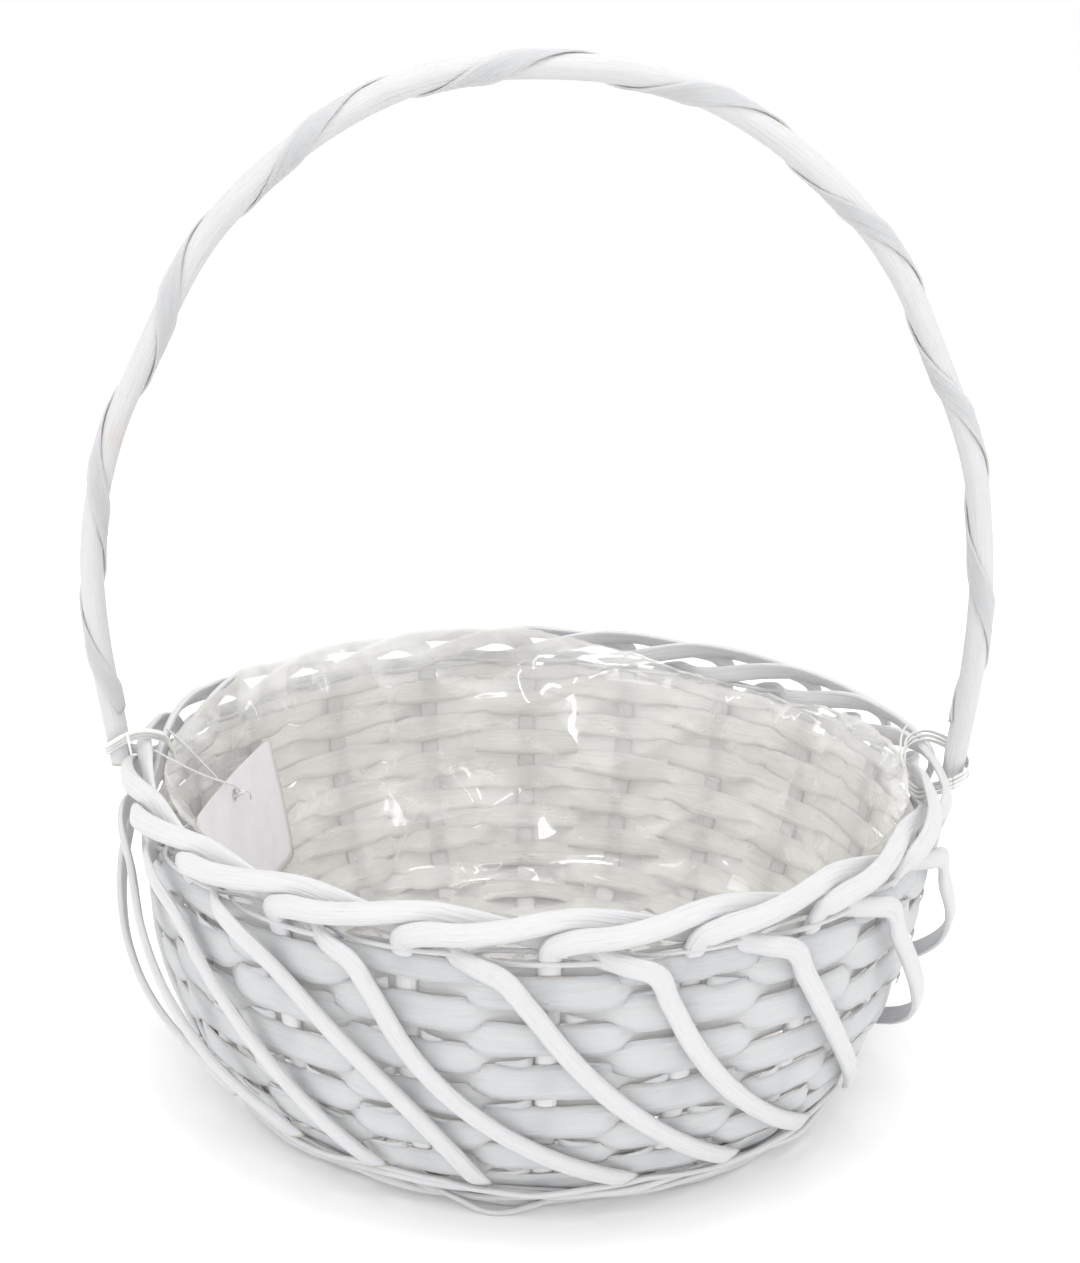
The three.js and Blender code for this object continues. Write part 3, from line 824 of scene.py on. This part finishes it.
class BASKET_OT_base(bpy.types.Operator):
    """Build the crossing base sticks and the rows woven round them"""
    bl_idname = "basket.base"
    bl_label = "Base"

    def execute(self, context):
        for i in range(10):
            stick = base_stick_piece(f"spoke_stick_{i + 1:02d}", i)
            settle(stick, "painted_rod", f"base_stick_{i + 1:02d}")
        for i in range(8):
            row = base_row_piece(f"base_chip_{i + 1:02d}", i, context.scene.basket_sizes)
            settle(row, "painted_chip", *([f"base_row_{i + 1:02d}"] if i < 7 else []))
        return {"FINISHED"}


# ---------------------------------------------------------------- handle

HANDLE_HALF = [
    (124.4, 92), (125.8, 108), (127.2, 130), (126, 158), (120.5, 186), (108.5, 213), (90, 244), (66, 266),
    (34, 282.5),
]
HANDLE_TOP = 286.5
HANDLE_RADIUS = 3.35
SCARF_FACE, SCARF_TOP = 122.0, 108.0


def handle_line(count):
    """The hoop's middle line in the XZ plane, from the right foot over the top to the left foot, whose
    leg bows out a little more."""
    right = [(x, 0, z) for x, z in HANDLE_HALF]
    left = [(-x - 2.3 * math.exp(-((z - 155) / 36) ** 2), 0, z) for x, z in reversed(HANDLE_HALF)]
    return smooth_line(np.array([*right, (0, 0, HANDLE_TOP), *left], float), count)


def handle_rod_piece(name):
    """The bent rod: a round section with slow swellings and knots, its feet cut to a flat scarf."""
    count = 360
    centres = handle_line(count)
    length = run_length(centres)
    a = np.linspace(0, 2 * np.pi, 18, endpoint=False)
    radius = HANDLE_RADIUS + wander(length / 22, 800, 0.14)
    rng = np.random.default_rng(801)
    knots = np.zeros(count)
    for place in rng.uniform(20, length[-1] - 20, 7):
        knots += np.exp(-((length - place) / 2.2) ** 2)
    rough = radius[:, None] + 0.35 * knots[:, None] * np.maximum(np.cos(a - 1.0), 0)
    rough = rough + 0.05 * np.sin(a * 5 + length[:, None] / 30)
    shape = carried(centres, np.broadcast_to([0, 1.0, 0], centres.shape),
                    (rough * np.cos(a), rough * np.sin(a)))
    low = shape[..., 2] < SCARF_TOP
    cut = low & (np.abs(shape[..., 0]) < SCARF_FACE)
    shape[..., 0] = np.where(cut, np.sign(shape[..., 0]) * SCARF_FACE, shape[..., 0])
    ends = np.minimum(length, length[-1] - length)
    flaky = 0.42 * np.exp(-((centres[:, 2] - 190) / 12) ** 2) * (centres[:, 0] < 0)
    raw = (np.maximum(1 - ends / 1.5, 0) + flaky + 0.3 * knots)[:, None] + 0.35 * cut
    return grid_piece(name, shape, finish_for("painted rod"),
                      (np.append(length, length[-1]), np.linspace(0, 21, 19)), marks={"raw": raw})


def skein_piece(name, sizes):
    """The flat skein: a strip that hugs the handle along a helix. Its section is an arc of the rod's
    own circle, a little proud at the edges, and thick enough to show a seam."""
    turns = sizes.skein_turns
    count = turns * 44
    centres = handle_line(2400)
    length = run_length(centres)
    share = np.linspace(0.033, 0.967, count)
    at = np.stack([np.interp(share * length[-1], length, centres[:, k]) for k in range(3)], 1)
    along = unit(np.gradient(at, axis=0))
    level = np.array([0, 1.0, 0])
    inward = np.cross(along, level)
    phase = 2 * np.pi * turns * (share - share[0]) / (share[-1] - share[0])
    phase = phase + wander(phase / 5, 810, 0.22)
    across = 9
    width = 6.0 + wander(phase, 811, 0.7)
    pitch = (length[-1] * 0.934) / turns
    circle = 2 * np.pi * (HANDLE_RADIUS + 0.5)
    slope = math.atan2(circle, pitch)
    place = np.linspace(-0.5, 0.5, across)
    outer, inner = [], []
    for k, p in enumerate(place):
        shift = width * p
        spin = phase + shift * math.cos(slope) / (HANDLE_RADIUS + 0.5)
        slide = -shift * math.sin(slope)
        base = at + along * slide[:, None]
        out = inward * np.cos(spin)[:, None] + level * np.sin(spin)[:, None]
        proud = 0.6 + 0.1 * abs(2 * p) ** 4 + wander(phase * 3 + 2 * p, 812 + k, 0.06)
        outer.append(base + out * (HANDLE_RADIUS + 0.2 + proud)[:, None])
        inner.append(base + out * (HANDLE_RADIUS + 0.2 + 0.05 * abs(2 * p))[..., None])
    shape = np.stack(outer + inner[::-1], 1)
    run = np.append(np.hypot(np.gradient(phase) * HANDLE_RADIUS, pitch / 44).cumsum(), 0)
    run[-1] = run[-2]
    around = np.concatenate([np.linspace(0, 9, across), np.linspace(10, 19, across), [20]])
    edge = np.zeros(2 * across)
    edge[[0, across - 1, across, 2 * across - 1]] = 1
    worn = 0.3 + 0.5 * smoothstep(wander(phase * 1.7, 830, 1), 0, 1)
    return grid_piece(name, shape, finish_for("painted skein"), (run, around),
                      marks={"inner": np.zeros((1, 2 * across)), "raw": worn[:, None] * edge[None]})


class BASKET_OT_handle(bpy.types.Operator):
    """Build the hoop handle and the skein wound round it"""
    bl_idname = "basket.handle"
    bl_label = "Handle"

    def execute(self, context):
        settle(handle_rod_piece("hoop_rod"), "painted_rod", "handle_rod")
        settle(skein_piece("hoop_skein", context.scene.basket_sizes), "painted_chip", "handle_skein")
        return {"FINISHED"}


LASHING_ROUTE = [
    (123.5, -8, 93.4), (127, -5.8, 94.5), (129.3, 0, 96), (127, 5.4, 98.6), (122, 6, 101.8),
    (116.5, 5.5, 103.4), (111.2, 3.5, 101.8), (110, -1, 97.3), (110.4, -6, 92), (113.2, -8.8, 90.6),
    (117.5, -9.2, 92), (120.8, -9, 92.8),
]


def lashing_piece(name, side):
    """A tie: three turns of a thin flat strand laid side by side over and under the border, and a tail
    that sticks up inside."""
    pieces = []
    for turn in range(3):
        knots = np.array(LASHING_ROUTE + LASHING_ROUTE[:1], float)
        knots[:, 2] += (turn - 1) * 1.15
        knots[:, 1] += (turn - 1) * 0.7
        centres = smooth_line(knots, 121)[:-1]
        middle = np.array([119, 0, 97.0])
        out = unit(centres - middle)
        section = strip_section(np.full(120, 1.5), np.full(120, 0.55), crown=0.15, across=4)
        shape = carried(centres, out, section, ring=True)
        if side < 0:
            shape = shape * np.array([-1, -1, 1.0])
        run = np.append(run_length(centres), 75.0)
        pieces.append(grid_piece("turn", shape, finish_for("tie strand"), (run, np.linspace(0, 4, 9)),
                                 ring=True, marks={"raw": np.zeros((1, 8))}))
    if side > 0:
        tails = ([(111, -5, 93.5), (109.2, -2, 97.5), (109.0, 3, 101.5), (110.5, 8, 104),
                  (113, 12, 105)],)
    else:
        tails = ([(124, -5, 96), (127.5, -9, 97), (129, -13, 94.5), (128.5, -16, 90.5)],
                 [(122, 6, 102.4), (120.5, 9.5, 104.6), (119, 14, 104.4), (117.5, 18, 101.5)])
    for tail in tails:
        centres = smooth_line(np.array(tail, float), 40)
        out = unit(centres - np.array([119, 0, 90.0]))
        section = strip_section(np.linspace(1.1, 0.6, 40), np.full(40, 0.45), crown=0.1, across=4)
        shape = carried(centres, out, section)
        if side < 0:
            shape = shape * np.array([-1, -1, 1.0])
        run = run_length(centres)
        pieces.append(grid_piece("tail", shape, finish_for("tie strand"), (np.append(run, run[-1]),
                                 np.linspace(0, 4, 9)), marks={"raw": np.zeros((1, 8))}))
    return joined(name, pieces)


class BASKET_OT_lashings(bpy.types.Operator):
    """Build the ties that bind the handle's feet to the border"""
    bl_idname = "basket.lashings"
    bl_label = "Lashings"

    def execute(self, context):
        settle(lashing_piece("foot_tie_left", -1), "tie", "lashing_left")
        settle(lashing_piece("foot_tie_right", 1), "tie", "lashing_right")
        return {"FINISHED"}


# ---------------------------------------------------------------- liner

def creases(degrees, share, seed, folds, turns, climb):
    """Crumple: a sum of triangle waves with barely rounded tips, each running its own slanting way
    round and up the film, as tall as it is long, and coming and going in patches."""
    rng = np.random.default_rng(seed)
    total = np.zeros(np.broadcast(degrees, share).shape)
    for k in range(folds):
        around, up = rng.integers(1, turns + 1) * rng.choice([-1, 1]), rng.uniform(-climb, climb)
        sway = 0.1 * np.sin(np.radians(degrees) * rng.integers(1, 5) + share * 5 + rng.uniform(0, 6))
        phase = around * degrees / 360 + up * share + rng.uniform(0, 1) + sway
        wave = 0.5 + np.arcsin(0.985 * np.sin(2 * np.pi * phase)) / np.pi
        patch = np.sin(np.radians(degrees) * rng.integers(2, 9) + rng.uniform(0, 6)) \
            + np.sin(share * rng.uniform(5, 14) + rng.uniform(0, 6))
        length = 1 / np.hypot(around / 720, up / 190)
        total += wave * smoothstep(patch, 0.1, 1.3) * length
    return total


def liner_surface(sizes):
    """The film cup: a floor, then the wall's curve a little inside the weave, pushed inwards by the
    crumple, up to an uneven torn edge."""
    around, up = 520, 132
    degrees = np.linspace(0, 360, around, endpoint=False)[None]
    share = np.linspace(0, 1, up)[:, None]
    turned = np.mod(degrees + 180, 360) - 180
    crest = 98.0 + ring_wander(degrees[0], 850, 1.8, 6, 3)[None]
    for rise, middle, spread in ((7, -138, 24), (5, -172, 14), (-7.5, 135, 26), (-3, 10, 60)):
        away = np.mod(turned - middle + 180, 360) - 180
        crest = crest + rise * np.exp(-(away / spread) ** 2)
    floor = 0.40
    top = np.minimum(crest, 92.0)
    climb = np.clip((share - floor) / (0.93 - floor), 0, 1) ** 1.15
    height = 12.2 + (top - 12.2) * climb + (crest - top) * np.clip((share - 0.93) / 0.07, 0, 1)
    radius, _, out_r, _ = wall_at_height(np.minimum(height, 92.0))
    ease = smoothstep(share, floor - 0.02, floor + 0.09)
    radius = 87.0 * np.clip(share / floor, 0, 1) * (1 - ease) + (radius - out_r * 4.4) * ease
    fold = 0.05 * creases(degrees, share, 851, 7, 8, 3) + 0.08 * creases(degrees, share, 852, 9, 15, 5)
    depth = np.minimum(fold * sizes.film_crease / 3.4, 9) * (1 - 0.85 * smoothstep(share, 0.88, 1.0))
    on_wall = smoothstep(share, floor - 0.05, floor + 0.1)
    radius = radius - depth * (0.2 + 0.8 * on_wall)
    height = height + depth * (1 - on_wall) * 0.7
    radius = np.where(share == 0, 0, radius)
    radius = radius + smoothstep(height, 100, 109) * 3.5 * np.clip((crest - 99) / 6, 0, 1)
    return share[:, 0], polar(radius, np.broadcast_to(degrees, height.shape), height), fold


def liner_piece(name, sizes):
    """The film as one sheet, its centre closed with one face."""
    share, points, fold = liner_surface(sizes)
    m = points.shape[1]
    uv = (np.append(share[1:], 1) * 190, np.linspace(0, 684, m + 1))
    piece = grid_piece(name, points[1:, ::-1], finish_for("clear film"), uv, caps=False,
                       marks={"fold": edge_haze(fold, share, points[..., 2])[1:, ::-1]})
    close_centre(piece.data, m)
    return piece


def edge_haze(fold, share, height):
    """Where the film looks milky: along sharp folds, where it stands above the rim, and most at its
    doubled top edge."""
    bend = np.abs(np.diff(fold, 2, axis=1, append=fold[:, :2])) + np.abs(
        np.diff(fold, 2, axis=0, append=fold[-2:]))
    crisp = np.clip(bend / np.percentile(bend, 97), 0, 1)
    edge = smoothstep(share, 0.982, 0.992)[:, None]
    return np.clip(crisp * 0.6 + 0.6 * smoothstep(height, 90, 98) + 0.7 * edge, 0, 1)


def close_centre(mesh, m):
    """Fills the innermost ring with one face, so that the film has no hole."""
    work = bmesh.new()
    work.from_mesh(mesh)
    work.verts.ensure_lookup_table()
    face = work.faces.new([work.verts[k] for k in range(m)])
    face.smooth = True
    bmesh.ops.recalc_face_normals(work, faces=work.faces)
    work.to_mesh(mesh)
    work.free()


class BASKET_OT_liner(bpy.types.Operator):
    """Build the crumpled clear film that lines the bowl"""
    bl_idname = "basket.liner"
    bl_label = "Film liner"

    def execute(self, context):
        film = settle(liner_piece("film_liner", context.scene.basket_sizes), "clear_film", "liner")
        return {"FINISHED"}


# ---------------------------------------------------------------- tag

CARD_WIDTH, CARD_HEIGHT, CARD_THICK = 70.0, 42.6, 0.6
CARD_TOP, CARD_DISTANCE, CARD_LEAN, CARD_AZIMUTH = 81.0, 97.0, 7.0, 10.0
HOLE_RADIUS, HOLE_DROP = 2.0, 6.0
THREAD_DIAMETER = 0.8
# border to hole and back, settled before its route: 71 mm straight, plus a little sag and the turn
THREAD_ROUTE = [
    (-112.4, -10.4, 100), (-108.6, -7.6, 96.3), (-104.4, -3.9, 92.1), (-99.9, 1.6, 87.2),
    (-96.4, 7.4, 83.3), (-93.9, 11.6, 80.6), (-92.5, 14.8, 77.8), (-92.5, 16.5, 75.5),
    (-94.4, 17.2, 74.5), (-96.3, 17.0, 75.7), (-97.8, 15.9, 78.5),
    (-100.4, 14, 83.4), (-104.4, 12, 89.3), (-108.5, 9.9, 95.2), (-112.4, 8.1, 100),
]


def card_piece(name):
    """The blank card: a grid over its rectangle whose points near the hole are drawn onto its rim and
    whose corners are rounded, bent a little along its width, with both faces and an edge between."""
    outward = polar(1, -90 - CARD_AZIMUTH, 0)
    drop = math.sqrt(CARD_HEIGHT ** 2 - CARD_LEAN ** 2)
    up = unit(outward * CARD_LEAN + np.array([0, 0, drop]))
    across = unit(np.cross(up, outward))
    facing = np.cross(across, up)
    spokes, rings = 96, 14
    a = np.linspace(0, 2 * np.pi, spokes, endpoint=False)
    ray = np.stack([np.cos(a), np.sin(a)], 1)
    hole = ray * HOLE_RADIUS + [0, -HOLE_DROP]
    edge = rectangle_edge(ray, CARD_WIDTH / 2, CARD_HEIGHT / 2, 1.6)
    t = np.linspace(0, 1, rings)[:, None, None] ** 1.3
    flat = hole[None] * (1 - t) + edge[None] * t
    curl = -1.4 * (flat[..., 0] / 35) ** 2 + 0.5 * np.sin(flat[..., 1] / 14)
    origin = outward * CARD_DISTANCE + np.array([0, 0, CARD_TOP])
    sheet = origin + across * flat[..., 0:1] + up * flat[..., 1:2] + facing * curl[..., None]
    front = sheet - facing * CARD_THICK / 2
    back = sheet + facing * CARD_THICK / 2
    shell = np.concatenate([front, back[::-1]])
    shell = np.swapaxes(shell, 0, 1)
    marks = np.zeros(2 * rings)
    marks[[rings - 1, rings]] = 1
    piece = grid_piece(name, shell, finish_for("plain card"),
                       (np.arange(spokes + 1.0), np.arange(2 * rings + 1.0)), ring=True, pipe=True,
                       marks={"raw": np.broadcast_to(marks[None], (spokes, 2 * rings))})
    return piece


def rectangle_edge(ray, half_width, half_height, corner):
    """Where a ray from the card's middle meets its outline, a rectangle with rounded corners."""
    reach = 1 / np.maximum(np.abs(ray[:, 0]) / half_width, np.abs(ray[:, 1]) / half_height)
    point = ray * reach[:, None]
    over = np.maximum(np.abs(point) - [half_width - corner, half_height - corner], 0)
    both = np.linalg.norm(over, axis=1)
    pull = np.where(np.min(over, axis=1) > 0, np.minimum(corner / np.maximum(both, 1e-9), 1), 1)
    core = np.sign(point) * (np.abs(point) - over)
    return core + np.sign(point) * over * pull[:, None] - [0, half_height]


def thread_piece(name):
    """The thread: a round section along its route, twisted plies raised in a helix."""
    centres = smooth_line(np.array(THREAD_ROUTE, float), 260)
    length = run_length(centres)
    a = np.linspace(0, 2 * np.pi, 10, endpoint=False)
    ply = THREAD_DIAMETER / 2 * (0.9 + 0.1 * np.cos(2 * a[None] - length[:, None] * 3.2))
    hint = np.broadcast_to([0.2, 0.3, 1.0], centres.shape)
    shape = carried(centres, hint, (ply * np.cos(a), ply * np.sin(a)))
    piece = grid_piece(name, shape, finish_for("tag thread"), (np.append(length, length[-1]),
                       np.linspace(0, 2.5, 11)), marks={"raw": np.zeros((1, 10))})
    return piece, centres


def knot_piece(name):
    """The thread's small knot in front of the hole: a tight overhand loop and two short tails."""
    t = np.linspace(0, 2 * np.pi, 60, endpoint=False)
    knot = 0.42 * np.stack([np.sin(t) + 2 * np.sin(2 * t), np.cos(t) - 2 * np.cos(2 * t),
                            -np.sin(3 * t)], 1)
    middle = np.array([-92.3, 14.9, 76.6])
    centres = knot + middle
    a = np.linspace(0, 2 * np.pi, 8, endpoint=False)

    def disc(radius, steps):
        return tuple((radius * part(a))[None].repeat(steps, 0) for part in (np.cos, np.sin))

    loop = grid_piece("loop", carried(centres, unit(knot + [0.01, 0.02, 0.6]), disc(0.36, 60), ring=True),
                      finish_for("tag thread"), (np.arange(61.0) * 0.4, np.linspace(0, 2.5, 9)),
                      ring=True, marks={"raw": np.zeros((1, 8))})
    tail = smooth_line(middle + np.array([(0, 0, 0), (1.6, 1.2, 0.2), (2.6, 3.4, -1.4),
                                          (2.4, 5.6, -4.2)]), 30)
    strand = grid_piece("tail", carried(tail, np.broadcast_to([0, 0.3, 1.0], tail.shape), disc(0.3, 30)),
                        finish_for("tag thread"),
                        (np.append(run_length(tail), 7), np.linspace(0, 2.5, 9)),
                        marks={"raw": np.zeros((1, 8))})
    return joined(name, [loop, strand])


class BASKET_OT_tag(bpy.types.Operator):
    """Build the blank card tag, its thread and the knot"""
    bl_idname = "basket.tag"
    bl_label = "Hang tag"

    def execute(self, context):
        card = settle(card_piece("blank_card"), "card", "tag_card", body=HANG_TAG)
        knot = settle(knot_piece("thread_knot"), "thread", body=HANG_TAG)
        thread, centres = thread_piece("card_thread")
        settle(thread, "thread", "tag_thread", body=HANG_TAG)
        tuple(centres[0] * MM)
        [tuple(p) for p in centres[::4] * MM]
        return {"FINISHED"}


# ---------------------------------------------------------------- stage

def soft_light(name, place, aim, size, power, colour=(1, 1, 1)):
    """A rectangular area light that looks at a point."""
    lamp = bpy.data.lights.new(name, "AREA")
    lamp.shape, lamp.size, lamp.size_y = "RECTANGLE", size[0], size[1]
    lamp.energy, lamp.color = power, colour
    holder = bpy.data.objects.new(name, lamp)
    way = np.array(aim, float) - np.array(place, float)
    yaw = math.atan2(way[1], way[0]) - math.pi / 2
    tilt = math.acos(-way[2] / np.linalg.norm(way))
    holder.location, holder.rotation_euler = place, (tilt, 0, yaw)
    bpy.context.scene.collection.objects.link(holder)


def camera():
    """A camera a little over half a metre away, about 25 degrees above the basket's middle."""
    distance, elevation, roll = 0.5723, math.radians(24.6), math.radians(1.08)
    target = np.array([0, 0, 0.06])
    back = np.array([0, -math.cos(elevation), math.sin(elevation)])
    lens = bpy.data.cameras.new("camera")
    lens.sensor_width, lens.lens = 36.0, 36.0 * 1859 / 1263
    lens.shift_x, lens.shift_y = 0.004, 0.1863
    lens.clip_start, lens.clip_end = 0.01, 20
    holder = bpy.data.objects.new("camera", lens)
    holder.location = tuple(target + back * distance)
    holder.rotation_mode = "QUATERNION"
    right, up = np.array([1.0, 0, 0]), np.array([0, math.sin(elevation), math.cos(elevation)])
    turned_right = math.cos(roll) * right + math.sin(roll) * up
    turned_up = math.cos(roll) * up - math.sin(roll) * right
    axes = Matrix([[turned_right[k], turned_up[k], back[k]] for k in range(3)])
    holder.rotation_quaternion = axes.to_quaternion()
    bpy.context.scene.collection.objects.link(holder)
    bpy.context.scene.camera = holder


def floor_finish():
    """A pale matt floor with a very little glow, so that it meets the white surroundings."""
    f = Finish("pale floor", {"Roughness": 0.9, "Emission Color": (1, 1, 1, 1),
                              "Emission Strength": 0.09})
    tone = f.noise(f.place(), 3, 2, 0.5)
    shade = f.blend(tone * 0.3, (0.95, 0.95, 0.95, 1), (0.93, 0.93, 0.93, 1))
    f.feed(f.shader.inputs["Base Color"], shade)
    return f.material


class BASKET_OT_stage(bpy.types.Operator):
    """Set the camera, the pale floor and the soft lights"""
    bl_idname = "basket.stage"
    bl_label = "Stage"

    def execute(self, context):
        camera()
        edge = 9000.0
        corners = np.array([[[-edge, -edge, 0], [edge, -edge, 0]], [[-edge, edge, 0], [edge, edge, 0]]])
        floor = grid_piece("floor", corners[:, ::-1], floor_finish(),
                           (np.arange(3.0), np.arange(3.0)), pipe=False)
        soft_light("key", (-0.8, -0.9, 1.5), (0, 0, 0.08), (0.6, 0.6), 1.8)
        soft_light("back", (0.3, 1.1, 1.3), (0, 0, 0.1), (0.7, 0.3), 2)
        soft_light("top", (0.0, -0.15, 1.5), (0, 0, 0.05), (0.5, 0.5), 5.2)
        soft_light("front strip", (-0.3, -1.6, 0.75), (0, 0, 0.08), (0.12, 0.9), 2.2)
        soft_light("high strip", (0.5, -1.3, 1.3), (0, 0, 0.08), (0.9, 0.12), 1.4)
        soft_light("right strip", (1.4, -0.5, 0.7), (0, 0, 0.08), (0.12, 0.9), 1.4)
        soft_light("left strip", (-1.4, 0.3, 0.8), (0, 0, 0.08), (0.12, 0.9), 1.2)
        world = bpy.data.worlds.new("studio")
        world.use_nodes = True
        backdrop = world.node_tree.nodes["Background"]
        backdrop.inputs["Color"].default_value = (1, 1, 1, 1)
        backdrop.inputs["Strength"].default_value = 1.0
        context.scene.world = world
        context.scene.view_settings.view_transform = "Standard"
        return {"FINISHED"}


class BASKET_PT_panel(bpy.types.Panel):
    """Lists the basket's pieces in the order they are made"""
    bl_idname = "BASKET_PT_panel"
    bl_label = "Flower girl basket"
    bl_space_type = "VIEW_3D"
    bl_region_type = "UI"
    bl_category = "Basket"

    def draw(self, context):
        for group in (context.scene.basket_sizes, context.scene.basket_colours):
            for name in group.__annotations__:
                self.layout.prop(group, name)
        for operator in OPERATORS:
            self.layout.operator(operator.bl_idname)


OPERATORS = (
    BASKET_OT_stage, BASKET_OT_tag, BASKET_OT_stakes, BASKET_OT_weave, BASKET_OT_wales, BASKET_OT_base,
    BASKET_OT_handle, BASKET_OT_lashings, BASKET_OT_liner,
)
CLASSES = (BasketSizes, BasketColours, *OPERATORS, BASKET_PT_panel)


def register():
    for cls in CLASSES:
        bpy.utils.register_class(cls)
    bpy.types.Scene.basket_sizes = PointerProperty(type=BasketSizes)
    bpy.types.Scene.basket_colours = PointerProperty(type=BasketColours)


def unregister():
    del bpy.types.Scene.basket_colours
    del bpy.types.Scene.basket_sizes
    for cls in reversed(CLASSES):
        bpy.utils.unregister_class(cls)


def main():
    register()
    for operator in OPERATORS:
        family, name = operator.bl_idname.split(".")
        getattr(getattr(bpy.ops, family), name)()


if __name__ == "__main__":
    main()
